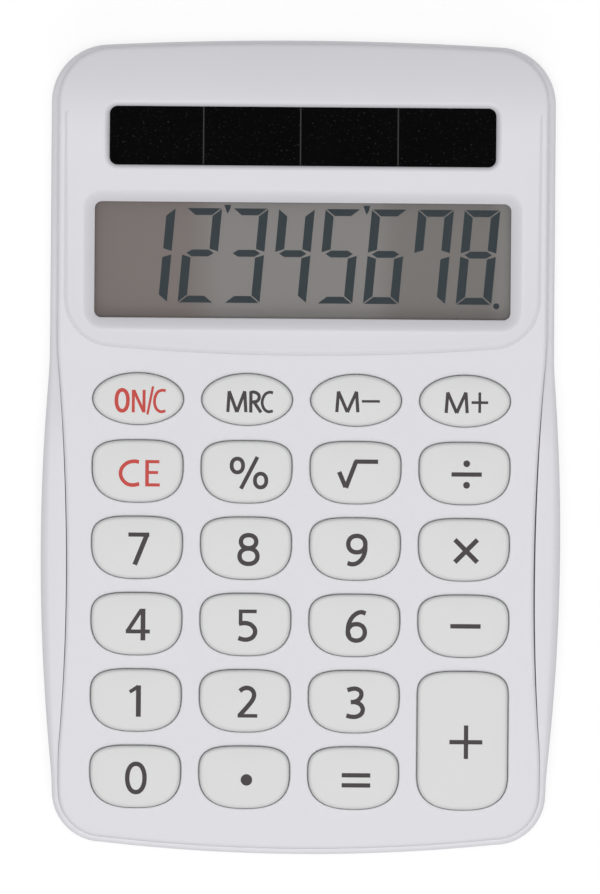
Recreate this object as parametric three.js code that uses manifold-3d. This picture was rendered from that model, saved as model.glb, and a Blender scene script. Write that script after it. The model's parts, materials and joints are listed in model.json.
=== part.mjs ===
// A slim solar-powered pocket calculator at life size, in millimetres.
// +X is to the user's right, +Y points to the display end and +Z points up out of the keys.
// The origin lies under the middle of the case, on the surface that the rubber feet stand on.

import * as THREE from "three";
import { mergeVertices } from "three/addons/utils/BufferGeometryUtils.js";
import Module from "manifold-3d";

const wasm = await Module();
wasm.setup();

// Keys: cap sizes, pitches and the shape of their outlines
const KEY_WIDTH = 12.32;
const KEY_HEIGHT = 8.44;
const KEY_SHOULDER = 0.7;
const OVAL_KEY_HEIGHT = 6.97;
const COLUMN_GAP = 2.78;
const ROW_GAP = 2.14;
const OVAL_ROW_GAP = 2.325;
const KEY_HOLE_GAP = 0.28;
const KEY_STAND_PROUD = 0.8;
const KEY_EDGE_ROUND = 0.4;
const KEY_CROWN = 0.12;
const KEY_CROWN_SHARE = 0.5;
const KEY_FLANGE_REACH = 0.5;
const KEY_FLANGE_THICKNESS = 0.8;
const KEY_FLANGE_GAP = 0.1;
const KEY_PLUNGER_RADIUS = 1.8;
const KEY_PLUNGER_LENGTH = 0.25;
const KEY_TO_DOME_GAP = 0.05;
const COLUMNS = 4;
const ROWS = 6;
const UPPER_OUTLINE_POWER = 3.3;
const LOWER_OUTLINE_POWER = 2.6;
const OVAL_OUTLINE_POWER = 2;
const KEY_QUARTER_STEPS = 4;

// Case along its length, from the key end to the display end
const KEYS_TO_HOOD = 2.9;
const HOOD_TO_WINDOW = 4.9;
const WINDOW_HEIGHT = 16.1;
const SOLAR_HEIGHT = 8.2;
const SOLAR_TO_END = 9.2;
const DISPLAY_END_STEP = 0.6;
const KEY_END_STEP = 0.8;
const DISPLAY_END_ARC = 500;
const KEY_END_ARC = 250;
const DISPLAY_CORNER = 8;
const KEY_END_CORNER = 7;

// Case across its width
const KEY_SIDE_MARGIN = 5.1;
const COVER_PINCH = 1.55;
const SHELL_LIP_WIDTH = 1.0;
const GRIP_BULGE = 1.35;
const SHELL_TAPER = 0.9;
const WINDOW_SIDE_FRAME = 5.05;
const SEAM_GAP = 0.2;

// Walls and heights
const FOOT_STAND = 0.8;
const FLOOR_THICKNESS = 1.4;
const COVER_WALL = 1.5;
const LEDGE_WIDTH = 1.3;
const LEDGE_ABOVE_BOARD = 0.3;
const BOARD_THICKNESS = 1.0;
const BOARD_EDGE_GAP = 0.4;
const SHEET_THICKNESS = 0.6;
const DOME_HEIGHT = 1.5;
const DOME_BASE_RADIUS = 3.6;
const DOME_TOP_RADIUS = 2.2;
const DOME_WALL = 0.5;
const CHIP_COVER_HEIGHT = 1.0;
const CHIP_COVER_RADIUS = 5.5;
const UNDER_BOARD_GAP = 0.2;
const COVER_EDGE_ROUND = 0.5;
const SHELL_EDGE_ROUND = 1.1;
const SHELL_FOOT_ROUND = 1.0;
const RIM_BELOW_FACE = 0.5;
const DISPLAY_RIM_DROP = 2.5;
const KEY_END_RIM_DROP = 1.0;
const RIM_DROP_LENGTH = 22;
const KEY_END_RIM_LENGTH = 12;

// Hood that carries the display and the solar cell
const HOOD_STEP = 0.35;
const HOOD_BORDER = 1.1;
const HOOD_CORNER = 6;
const HOOD_LOW_EDGE_ARC = 330;
const HOOD_TILT = THREE.MathUtils.degToRad(4.5);
const HOOD_ROLL_RADIUS = 40;
const HOOD_ROLL_LENGTH = 15.3;
const HOOD_TOP_TO_END = 9.9;
const WINDOW_CORNER = 1.0;
const WINDOW_BEVEL = 1.5;
const WINDOW_BEVEL_DEPTH = 1.2;
const SOLAR_CORNER = 1.1;
const SOLAR_BEVEL = 0.6;
const SOLAR_BEVEL_DEPTH = 0.8;

// Display stack, from the window down
const PLATE_GAP = 0.15;
const DISPLAY_MARGIN = 1.6;
const PANE_THICKNESS = 0.8;
const POLARISER_THICKNESS = 0.2;
const GLASS_THICKNESS = 0.55;
const REFLECTOR_THICKNESS = 0.25;
const GLASS_LEDGE = 1.5;
const GLASS_LEDGE_OVERHANG = 0.6;
const RIB_THICKNESS = 1.0;
const RIB_DEPTH = 3.0;
const RIB_GAP = 0.4;
const RIB_TO_POCKET = 0.4;
const CONNECTOR_THICKNESS = 0.25;
const CONNECTOR_LAND = 1.4;
const CONNECTOR_BOSS_GAP = 1.2;

// Solar cell and the parts on the board below it
const SOLAR_MARGIN = 1.4;
const SOLAR_THICKNESS = 1.1;
const SOLAR_SKIN = 1.3;
const SOLAR_PLATE_GAP = 0.1;
const SOLAR_POCKET_GAP = 0.3;
const SOLAR_BOSS_TO_EDGE = 1.9;
const WIRE_RADIUS = 0.45;
const WIRE_END_GAP = 0.1;
const WIRE_SLACK = 2.0;
const WIRE_FROM_EDGE = 4.0;
const CAPACITOR_RADIUS = 1.8;
const CAPACITOR_LENGTH = 6.5;
const CAPACITOR_GROOVE = 0.25;
const CAPACITOR_X = -8.0;
const DIODE_RADIUS = 0.9;
const DIODE_LENGTH = 3.2;
const DIODE_X = 9.0;
const LEAD_THICKNESS = 0.4;
const LEAD_REACH = 1.4;

// Screws, bosses, posts and feet
const SCREW_RADIUS = 0.85;
const SCREW_HEAD_RADIUS = 1.5;
const SCREW_HEAD_HEIGHT = 1.0;
const SCREW_BITE = 3.4;
const SCREW_CLEARANCE = 0.05;
const SCREW_SLOT_LENGTH = 1.9;
const SCREW_SLOT_WIDTH = 0.45;
const SCREW_SLOT_DEPTH = 0.45;
const BOSS_RADIUS = 1.75;
const SHELL_BOSS_RADIUS = 2.2;
const BOSS_TO_KEYS = 0.4;
const BOSS_SKIN = 0.4;
const BOSS_BELOW_BOARD = 0.1;
const HEAD_RECESS_GAP = 0.2;
const KEY_END_SCREW_INSET = 13.9;
const DISPLAY_END_SCREW_INSET = 9.9;
const BOARD_SCREW_INSET = 13.9;
const POST_RADIUS = 1.5;
const FOOT_RADIUS = 4.0;
const FOOT_RECESS_DEPTH = 0.8;
const FOOT_RECESS_GAP = 0.15;
const FOOT_ROUND = 0.3;
const FOOT_FROM_SIDE = 10.9;
const FOOT_FROM_END = 12.5;
const PANEL_WIDTH = 44;
const PANEL_LENGTH = 26;
const PANEL_DEPTH = 0.3;
const PANEL_CORNER = 2;

// One overrun that every through cut shares
const OVERRUN = 1;

// Half-widths, worked out from the sizes above
const COLUMN_PITCH = KEY_WIDTH + COLUMN_GAP;
const COVER_HALF = ((COLUMNS - 1) * COLUMN_PITCH + KEY_WIDTH) / 2 + KEY_SIDE_MARGIN;
const SHELL_HALF = COVER_HALF + SHELL_LIP_WIDTH;
const HOOD_HALF = COVER_HALF - HOOD_BORDER;
const WINDOW_WIDTH = 2 * (COVER_HALF - WINDOW_SIDE_FRAME);
const SOLAR_SIDE_FRAME = SOLAR_MARGIN + SOLAR_POCKET_GAP + 2 * BOSS_RADIUS + SOLAR_BOSS_TO_EDGE;
const SOLAR_WIDTH = 2 * (COVER_HALF - SOLAR_SIDE_FRAME);
const KEY_END_SCREW_X = COVER_HALF - KEY_END_SCREW_INSET;
const DISPLAY_END_SCREW_X = COVER_HALF - DISPLAY_END_SCREW_INSET;
const BOARD_SCREW_X = COVER_HALF - BOARD_SCREW_INSET;
const FOOT_X = SHELL_HALF - FOOT_FROM_SIDE;

// Places along the length
const ROW_PITCH = KEY_HEIGHT + ROW_GAP;
const OVAL_ROW_PITCH = (OVAL_KEY_HEIGHT + KEY_HEIGHT) / 2 + OVAL_ROW_GAP;
const KEY_FIELD =
  OVAL_KEY_HEIGHT / 2 + OVAL_ROW_PITCH + (ROWS - 2) * ROW_PITCH + KEY_HEIGHT / 2;
const SCREW_EDGE_INSET = BOSS_RADIUS + BOSS_SKIN;
const KEY_END_SCREW_TO_EDGE = KEY_END_SCREW_X ** 2 / (2 * KEY_END_ARC) + SCREW_EDGE_INSET;
const KEY_END_MARGIN =
  KEY_END_STEP + KEY_END_SCREW_TO_EDGE + BOSS_RADIUS + BOSS_TO_KEYS + KEY_FLANGE_REACH;
const WINDOW_TO_SOLAR =
  DISPLAY_MARGIN + RIB_GAP + RIB_THICKNESS + RIB_TO_POCKET + SOLAR_POCKET_GAP + SOLAR_MARGIN;
const CASE_LENGTH =
  KEY_END_MARGIN + KEY_FIELD + KEYS_TO_HOOD + HOOD_TO_WINDOW + WINDOW_HEIGHT +
  WINDOW_TO_SOLAR + SOLAR_HEIGHT + SOLAR_TO_END;
const SHELL_TOP = CASE_LENGTH / 2;
const SHELL_BOTTOM = -CASE_LENGTH / 2;
const COVER_TOP = SHELL_TOP - DISPLAY_END_STEP;
const COVER_BOTTOM = SHELL_BOTTOM + KEY_END_STEP;
const KEYS_LOW = SHELL_BOTTOM + KEY_END_MARGIN;
const KEYS_HIGH = KEYS_LOW + KEY_FIELD;
const HOOD_LOW = KEYS_HIGH + KEYS_TO_HOOD;
const WINDOW_LOW = HOOD_LOW + HOOD_TO_WINDOW;
const WINDOW_Y = WINDOW_LOW + WINDOW_HEIGHT / 2;
const SOLAR_Y = WINDOW_LOW + WINDOW_HEIGHT + WINDOW_TO_SOLAR + SOLAR_HEIGHT / 2;
const HOOD_TOP = COVER_TOP - HOOD_TOP_TO_END;
const ROLL_START = COVER_TOP - HOOD_ROLL_LENGTH;

// Heights, stacked up from the feet
const SHELL_FLOOR = FOOT_STAND + FLOOR_THICKNESS;
const BOARD_BOTTOM = SHELL_FLOOR + Math.max(CHIP_COVER_HEIGHT, SCREW_HEAD_HEIGHT) + UNDER_BOARD_GAP;
const BOARD_TOP = BOARD_BOTTOM + BOARD_THICKNESS;
const SHEET_TOP = BOARD_TOP + SHEET_THICKNESS;
const DOME_TOP = SHEET_TOP + DOME_HEIGHT;
const PLUNGER_BOTTOM = DOME_TOP + KEY_TO_DOME_GAP;
const FLANGE_BOTTOM = PLUNGER_BOTTOM + KEY_PLUNGER_LENGTH;
const FLANGE_TOP = FLANGE_BOTTOM + KEY_FLANGE_THICKNESS;
const COVER_UNDERSIDE = FLANGE_TOP + KEY_FLANGE_GAP;
const FACE = COVER_UNDERSIDE + COVER_WALL;
const KEY_EDGE_TOP = FACE + KEY_STAND_PROUD - KEY_CROWN;
const LEDGE = BOARD_TOP + LEDGE_ABOVE_BOARD;
const SHELL_RIM = FACE - RIM_BELOW_FACE;
const BOSS_FOOT = BOARD_BOTTOM - BOSS_BELOW_BOARD;

const rise = (share) => {
  const t = Math.min(Math.max(share, 0), 1);
  return t * t * (3 - 2 * t);
};

// Swell of a side: one at the middle and none past the span above or below it.
function swell(y, middle, spanAbove, spanBelow) {
  const t = (y - middle) / (y > middle ? spanAbove : spanBelow);
  return Math.abs(t) < 1 ? Math.cos((t * Math.PI) / 2) ** 2 : 0;
}

// Where the flanks swell, as shares of the case's length
const GRIP_MIDDLE_SHARE = -0.124;
const GRIP_ABOVE_SHARE = 0.275;
const GRIP_BELOW_SHARE = 0.37;
const PINCH_MIDDLE_SHARE = -0.16;
const PINCH_ABOVE_SHARE = 0.32;
const PINCH_BELOW_SHARE = 0.4;
const TAPER_START_SHARE = 0;
const TAPER_LENGTH_SHARE = 0.44;

function shellSide(y) {
  const share = y / CASE_LENGTH;
  const bulge = swell(share, GRIP_MIDDLE_SHARE, GRIP_ABOVE_SHARE, GRIP_BELOW_SHARE);
  const taper = rise((TAPER_START_SHARE - share) / TAPER_LENGTH_SHARE);
  return SHELL_HALF + GRIP_BULGE * bulge - SHELL_TAPER * taper;
}

function coverSide(y) {
  const share = y / CASE_LENGTH;
  const pinch = swell(share, PINCH_MIDDLE_SHARE, PINCH_ABOVE_SHARE, PINCH_BELOW_SHARE);
  return COVER_HALF - COVER_PINCH * pinch;
}

// Height of the hood: a tilted plane that rolls down towards the display end.
function hoodHeight(y) {
  const past = Math.max(y - ROLL_START, 0);
  return FACE + HOOD_STEP + Math.tan(HOOD_TILT) * (y - HOOD_LOW) - past ** 2 / (2 * HOOD_ROLL_RADIUS);
}

// Height of the cover around the hood, which meets it at the hood's top.
function coverHeight(y) {
  if (y <= HOOD_LOW) return FACE;
  const left = Math.max(1 - (y - HOOD_LOW) / (HOOD_TOP - HOOD_LOW), 0);
  return hoodHeight(y) - HOOD_STEP * left;
}

// Height of the hollow under the cover.
function ceilingHeight(y) {
  return y <= HOOD_LOW ? COVER_UNDERSIDE : hoodHeight(y) - HOOD_STEP - COVER_WALL;
}

// Height of the rear shell's rim: high along the grips and lower at both ends.
function rimHeight(y) {
  const towardsDisplay = rise((y - KEYS_HIGH + RIM_DROP_LENGTH / 2) / RIM_DROP_LENGTH);
  const towardsKeyEnd = rise((KEYS_LOW + KEY_END_RIM_LENGTH - y) / KEY_END_RIM_LENGTH);
  return SHELL_RIM - DISPLAY_RIM_DROP * towardsDisplay - KEY_END_RIM_DROP * towardsKeyEnd;
}

// Steps round a corner, along an end and along the stretches of a side
const CORNER_STEPS = 5;
const END_STEPS = 2;
const ROLL_STEPS = 2;
const HOOD_STEPS = 3;
const KEYPAD_STEPS = 9;

// An outline is the right half of a shape with equal halves, as [x, y] points that run
// from the middle of its +Y end to the middle of its -Y end.
function cornerArc(x, y, radius, from, steps) {
  const points = [];
  for (let i = 0; i <= steps; i++) {
    const angle = from - (i / steps) * (Math.PI / 2);
    points.push([x + radius * Math.cos(angle), y + radius * Math.sin(angle)]);
  }
  return points;
}

// Outline of a case part: bowed ends, round corners and sides that follow a function of y.
function caseOutline(top, bottom, topCorner, bottomCorner, side) {
  const topX = side(top - topCorner) - topCorner;
  const bottomX = side(bottom + bottomCorner) - bottomCorner;
  const topY = top - topX ** 2 / (2 * DISPLAY_END_ARC) - topCorner;
  const bottomY = bottom + bottomX ** 2 / (2 * KEY_END_ARC) + bottomCorner;
  const points = [];
  for (let i = 0; i < END_STEPS; i++) {
    const x = (topX * i) / END_STEPS;
    points.push([x, top - x ** 2 / (2 * DISPLAY_END_ARC)]);
  }
  points.push(...cornerArc(topX, topY, topCorner, Math.PI / 2, CORNER_STEPS));
  let start = topY;
  for (const [end, steps] of [
    [ROLL_START, ROLL_STEPS],
    [HOOD_LOW, HOOD_STEPS],
    [bottomY, KEYPAD_STEPS],
  ]) {
    for (let i = 1; i <= steps; i++) {
      const y = start + ((end - start) * i) / steps;
      points.push([side(y), y]);
    }
    start = end;
  }
  points.pop();
  points.push(...cornerArc(bottomX, bottomY, bottomCorner, 0, CORNER_STEPS));
  for (let i = END_STEPS - 1; i >= 0; i--) {
    const x = (bottomX * i) / END_STEPS;
    points.push([x, bottom + x ** 2 / (2 * KEY_END_ARC)]);
  }
  return points;
}

function roundedRectangle(width, height, radius, steps = CORNER_STEPS) {
  const x = width / 2 - radius;
  const y = height / 2 - radius;
  return [
    [0, height / 2],
    ...cornerArc(x, y, radius, Math.PI / 2, steps),
    ...cornerArc(x, -y, radius, 0, steps),
    [0, -height / 2],
  ];
}

// Outline of the hood: straight sides, a bowed low edge and round low corners.
function hoodOutline() {
  const lowX = HOOD_HALF - HOOD_CORNER;
  const lowY = HOOD_LOW + lowX ** 2 / (2 * HOOD_LOW_EDGE_ARC) + HOOD_CORNER;
  const points = [[0, HOOD_TOP]];
  for (let i = 0; i <= ROLL_STEPS; i++) {
    points.push([HOOD_HALF, HOOD_TOP + ((ROLL_START - HOOD_TOP) * i) / ROLL_STEPS]);
  }
  points.push(...cornerArc(lowX, lowY, HOOD_CORNER, 0, CORNER_STEPS));
  for (let i = END_STEPS - 1; i >= 0; i--) {
    const x = (lowX * i) / END_STEPS;
    points.push([x, HOOD_LOW + x ** 2 / (2 * HOOD_LOW_EDGE_ARC)]);
  }
  return points;
}

// Outline of a key: a superellipse |x/a|^p + |y/b|^p = 1 with its own height and power above and
// below its widest line, and a straight stretch between its halves on a tall key.
function keyOutline({ height, shoulder, stretch, upper, lower }) {
  const points = [];
  const steps = 2 * KEY_QUARTER_STEPS;
  for (let i = 0; i <= steps; i++) {
    const angle = Math.PI / 2 - (i / steps) * Math.PI;
    const power = 2 / (2 * i <= steps ? upper : lower);
    const x = (KEY_WIDTH / 2) * Math.abs(Math.cos(angle)) ** power;
    const reach = Math.abs(Math.sin(angle)) ** power;
    const above = shoulder + (height / 2 - shoulder) * reach + stretch / 2;
    const below = shoulder - (height / 2 + shoulder) * reach - stretch / 2;
    if (2 * i < steps) points.push([x, above]);
    else if (2 * i > steps) points.push([x, below]);
    else if (stretch > 0) points.push([x, above], [x, below]);
    else points.push([x, shoulder]);
  }
  return points;
}

// Inward shift at each outline point that moves both of its edges in by one unit.
function inwardShifts(outline) {
  const last = outline.length - 1;
  const at = (i) => {
    if (i < 0) return [-outline[-i][0], outline[-i][1]];
    if (i > last) return [-outline[2 * last - i][0], outline[2 * last - i][1]];
    return outline[i];
  };
  const edgeNormal = (a, b) => {
    const length = Math.hypot(b[0] - a[0], b[1] - a[1]);
    return [(b[1] - a[1]) / length, (a[0] - b[0]) / length];
  };
  return outline.map((point, i) => {
    const before = edgeNormal(at(i - 1), point);
    const after = edgeNormal(point, at(i + 1));
    const spread = 1 + before[0] * after[0] + before[1] * after[1];
    return [(before[0] + after[0]) / spread, (before[1] + after[1]) / spread];
  });
}

// A closed body stacked from rings of one outline. Each level is [inset, height, share]: a height
// is a number or a function of y, and a share below one draws the ring in towards its middle.
function stacked(outline, levels) {
  const shifts = inwardShifts(outline);
  const last = outline.length - 1;
  const around = 2 * last;
  const positions = [];
  const faces = [];
  for (const [inset, height, share = 1] of levels) {
    const place = (i, mirror) => {
      const x = (outline[i][0] + shifts[i][0] * inset) * share;
      const y = (outline[i][1] + shifts[i][1] * inset) * share;
      const z = typeof height === "function" ? height(y) : height;
      positions.push(i === 0 || i === last ? 0 : mirror * x, y, z);
    };
    for (let i = 0; i <= last; i++) place(i, 1);
    for (let i = last - 1; i > 0; i--) place(i, -1);
  }
  for (let level = 1; level < levels.length; level++) {
    for (let i = 0; i < around; i++) {
      const low = (level - 1) * around;
      const next = (i + 1) % around;
      faces.push(low + i, low + around + i, low + around + next);
      faces.push(low + i, low + around + next, low + next);
    }
  }
  const cap = (first, up) => {
    for (let i = 0; i < last; i++) {
      const right = [first + i, first + i + 1];
      const left = [first + ((around - i) % around), first + around - i - 1];
      const corners = [right[0], left[0], left[1], right[1]];
      for (const [a, b, c] of [[0, 1, 2], [0, 2, 3]]) {
        const face = [corners[a], corners[b], corners[c]];
        if (new Set(face).size === 3) faces.push(...(up ? face : face.reverse()));
      }
    }
  };
  cap(0, false);
  cap((levels.length - 1) * around, true);
  const geometry = new THREE.BufferGeometry();
  geometry.setAttribute("position", new THREE.Float32BufferAttribute(positions, 3));
  geometry.setIndex(faces);
  return geometry;
}

// Round steps of the turned pieces and of the small domes
const ROUND_STEPS = 12;
const DOME_STEPS = 8;

// A turned piece about +Z from [radius, height] points that run up from the axis to the axis.
function turned(profile, steps = ROUND_STEPS) {
  return new THREE.LatheGeometry(profile.map(([r, z]) => new THREE.Vector2(r, z)), steps)
    .rotateX(Math.PI / 2);
}

function rod(x, y, radius, low, high, steps = ROUND_STEPS) {
  return turned([[0, low], [radius, low], [radius, high], [0, high]], steps).translate(x, y, 0);
}

function block(lowCorner, highCorner) {
  const low = new THREE.Vector3(...lowCorner);
  const high = new THREE.Vector3(...highCorner);
  const size = high.clone().sub(low);
  const middle = low.clone().add(high).multiplyScalar(1 / 2);
  return new THREE.BoxGeometry(size.x, size.y, size.z).translate(middle.x, middle.y, middle.z);
}

function solid(geometry) {
  const bare = geometry.clone();
  bare.deleteAttribute("normal");
  bare.deleteAttribute("uv");
  const merged = mergeVertices(bare);
  return new wasm.Manifold(
    new wasm.Mesh({
      numProp: 3,
      vertProperties: merged.getAttribute("position").array,
      triVerts: new Uint32Array(merged.index.array),
    }),
  );
}

const joined = (start, pieces) => pieces.reduce((whole, piece) => whole.add(solid(piece)), start);
const cutFrom = (start, pieces) => pieces.reduce((whole, piece) => whole.subtract(solid(piece)), start);

function geometryOf(made) {
  const mesh = made.getMesh();
  const points = [];
  for (let i = 0; i < mesh.vertProperties.length; i += mesh.numProp) {
    points.push(...mesh.vertProperties.slice(i, i + 3));
  }
  const geometry = new THREE.BufferGeometry();
  geometry.setAttribute("position", new THREE.Float32BufferAttribute(points, 3));
  geometry.setIndex([...mesh.triVerts]);
  const faceted = geometry.toNonIndexed();
  faceted.computeVertexNormals();
  return faceted;
}

function finish(color, roughness, metalness = 0) {
  return new THREE.MeshStandardMaterial({ color, roughness, metalness });
}

function clearFinish(color, roughness, opacity) {
  return new THREE.MeshStandardMaterial({ color, roughness, opacity, transparent: true });
}

const calculator = new THREE.Group();

function place(name, geometry, material, parent = calculator) {
  const mesh = new THREE.Mesh(geometry, material);
  mesh.name = name;
  parent.add(mesh);
  return mesh;
}

// The two places of a mirrored pair
const SIDES = [-1, 1];

// Screw places, as [x, y]
const keyEndScrewY = COVER_BOTTOM + KEY_END_SCREW_TO_EDGE;
const displayEndScrewY =
  COVER_TOP - DISPLAY_END_SCREW_X ** 2 / (2 * DISPLAY_END_ARC) - SCREW_EDGE_INSET;
const boardScrewY = KEYS_HIGH + KEY_FLANGE_REACH + BOSS_TO_KEYS + BOSS_RADIUS;
const boardSideScrewX = SOLAR_WIDTH / 2 + SOLAR_MARGIN + SOLAR_POCKET_GAP + BOSS_RADIUS;
const CASE_SCREWS = SIDES.flatMap((side) => [
  [side * KEY_END_SCREW_X, keyEndScrewY],
  [side * DISPLAY_END_SCREW_X, displayEndScrewY],
]);
const BOARD_SCREWS = SIDES.flatMap((side) => [
  [side * BOARD_SCREW_X, boardScrewY],
  [side * boardSideScrewX, SOLAR_Y],
]);
const FEET = SIDES.flatMap((side) => [
  [side * FOOT_X, SHELL_BOTTOM + FOOT_FROM_END],
  [side * FOOT_X, SHELL_TOP - FOOT_FROM_END],
]);

// Key shapes
const NORMAL_KEY = {
  height: KEY_HEIGHT,
  shoulder: KEY_SHOULDER,
  stretch: 0,
  upper: UPPER_OUTLINE_POWER,
  lower: LOWER_OUTLINE_POWER,
};
const OVAL_KEY = {
  height: OVAL_KEY_HEIGHT,
  shoulder: 0,
  stretch: 0,
  upper: OVAL_OUTLINE_POWER,
  lower: OVAL_OUTLINE_POWER,
};
const TALL_KEY = { ...NORMAL_KEY, stretch: ROW_PITCH };

// Keys by row from the top, left to right; the tall key fills the last place of two rows
const KEY_NAMES = [
  ["key_on_clear", "key_memory_recall", "key_memory_minus", "key_memory_plus"],
  ["key_clear_entry", "key_percent", "key_square_root", "key_divide"],
  ["key_7", "key_8", "key_9", "key_multiply"],
  ["key_4", "key_5", "key_6", "key_minus"],
  ["key_1", "key_2", "key_3", "key_plus"],
  ["key_0", "key_point", "key_equals"],
];

function keyPlaces() {
  return KEY_NAMES.flatMap((names, row) =>
    names.map((name, column) => {
      const shape = row === 0 ? OVAL_KEY : name === "key_plus" ? TALL_KEY : NORMAL_KEY;
      const fromTop = row === 0 ? OVAL_KEY_HEIGHT / 2 : OVAL_KEY_HEIGHT / 2 + OVAL_ROW_PITCH;
      const y = KEYS_HIGH - fromTop - Math.max(row - 1, 0) * ROW_PITCH - shape.stretch / 2;
      return { name, shape, x: (column - (COLUMNS - 1) / 2) * COLUMN_PITCH, y };
    }),
  );
}

const KEYS = keyPlaces();
const coverOutline = caseOutline(
  COVER_TOP, COVER_BOTTOM, DISPLAY_CORNER - DISPLAY_END_STEP, KEY_END_CORNER - KEY_END_STEP, coverSide,
);
const shellOutline = caseOutline(SHELL_TOP, SHELL_BOTTOM, DISPLAY_CORNER, KEY_END_CORNER, shellSide);

// The display's own frame: on the hood's surface at the window's middle, tilted with the hood
const displayFrame = new THREE.Matrix4()
  .makeRotationX(HOOD_TILT)
  .setPosition(0, WINDOW_Y, hoodHeight(WINDOW_Y));
const SKIN = HOOD_STEP + COVER_WALL;
const plateWidth = WINDOW_WIDTH + 2 * DISPLAY_MARGIN;
const plateHeight = WINDOW_HEIGHT + 2 * DISPLAY_MARGIN;
const solarPlateWidth = SOLAR_WIDTH + 2 * SOLAR_MARGIN;
const solarPlateHeight = SOLAR_HEIGHT + 2 * SOLAR_MARGIN;
const solarCeiling = hoodHeight(SOLAR_Y - solarPlateHeight / 2) - SOLAR_SKIN;
const solarTop = solarCeiling - SOLAR_PLATE_GAP;
const solarBottom = solarTop - SOLAR_THICKNESS;

// Opening with bevelled sides, cut down from a surface at height zero.
function bevelledOpening(width, height, corner, bevel, bevelDepth, depth) {
  return stacked(roundedRectangle(width, height, corner), [
    [0, -depth],
    [0, -bevelDepth],
    [-bevel, 0],
    [-bevel, OVERRUN],
  ]);
}

// Ribs under the hood that hold the display stack in place, in the display's frame.
function displayRibs() {
  const inside = plateWidth / 2 + RIB_GAP;
  const ribs = SIDES.map((side) => {
    const ends = [side * inside, side * (inside + RIB_THICKNESS)];
    return block(
      [Math.min(...ends), -WINDOW_HEIGHT / 2, -SKIN - RIB_DEPTH],
      [Math.max(...ends), WINDOW_HEIGHT / 2, -COVER_WALL],
    );
  });
  const far = plateHeight / 2 + RIB_GAP;
  ribs.push(block(
    [-WINDOW_WIDTH / 2, far, -SKIN - RIB_DEPTH],
    [WINDOW_WIDTH / 2, far + RIB_THICKNESS, -COVER_WALL],
  ));
  return ribs.map((rib) => rib.applyMatrix4(displayFrame));
}

function frontCover() {
  const body = solid(stacked(coverOutline, [
    [0, LEDGE],
    [0, (y) => coverHeight(y) - COVER_EDGE_ROUND],
    [COVER_EDGE_ROUND / 4, (y) => coverHeight(y) - COVER_EDGE_ROUND / 4],
    [COVER_EDGE_ROUND, coverHeight],
  ]));
  const hood = stacked(hoodOutline(), [
    [0, COVER_UNDERSIDE],
    [0, (y) => hoodHeight(y) - HOOD_STEP / 2],
    [HOOD_STEP / 2, hoodHeight],
  ]);
  const hollow = stacked(coverOutline, [
    [COVER_WALL, LEDGE - OVERRUN],
    [COVER_WALL, ceilingHeight],
  ]);
  const pocketX = solarPlateWidth / 2 + SOLAR_POCKET_GAP;
  const pocketY = solarPlateHeight / 2 + SOLAR_POCKET_GAP;
  const solarPocket = block([-pocketX, SOLAR_Y - pocketY, LEDGE], [pocketX, SOLAR_Y + pocketY, solarCeiling]);
  const bossFrom = (low) => ([x, y]) => rod(x, y, BOSS_RADIUS, low, ceilingHeight(y) + COVER_WALL / 2);
  const bosses = [...CASE_SCREWS.map(bossFrom(BOSS_FOOT)), ...BOARD_SCREWS.map(bossFrom(BOARD_TOP))];
  const bore = SCREW_RADIUS + SCREW_CLEARANCE;
  const boreFrom = (low) => ([x, y]) => rod(x, y, bore, low - OVERRUN, low + SCREW_BITE);
  const bores = [...CASE_SCREWS.map(boreFrom(BOSS_FOOT)), ...BOARD_SCREWS.map(boreFrom(BOARD_TOP))];
  const keyHoles = KEYS.map(({ shape, x, y }) =>
    stacked(keyOutline(shape), [
      [-KEY_HOLE_GAP, COVER_UNDERSIDE - OVERRUN],
      [-KEY_HOLE_GAP, FACE + OVERRUN],
    ]).translate(x, y, 0),
  );
  const windowHole = bevelledOpening(
    WINDOW_WIDTH, WINDOW_HEIGHT, WINDOW_CORNER, WINDOW_BEVEL, WINDOW_BEVEL_DEPTH, SKIN + OVERRUN / 2,
  ).applyMatrix4(displayFrame);
  const solarHole = bevelledOpening(
    SOLAR_WIDTH, SOLAR_HEIGHT, SOLAR_CORNER, SOLAR_BEVEL, SOLAR_BEVEL_DEPTH, SKIN + OVERRUN / 2,
  ).translate(0, SOLAR_Y, hoodHeight(SOLAR_Y));
  const shell = cutFrom(joined(body, [hood]), [hollow, solarPocket]);
  const fitted = joined(shell, [...bosses, ...displayRibs()]);
  return geometryOf(cutFrom(fitted, [...bores, ...keyHoles, windowHole, solarHole]));
}

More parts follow.
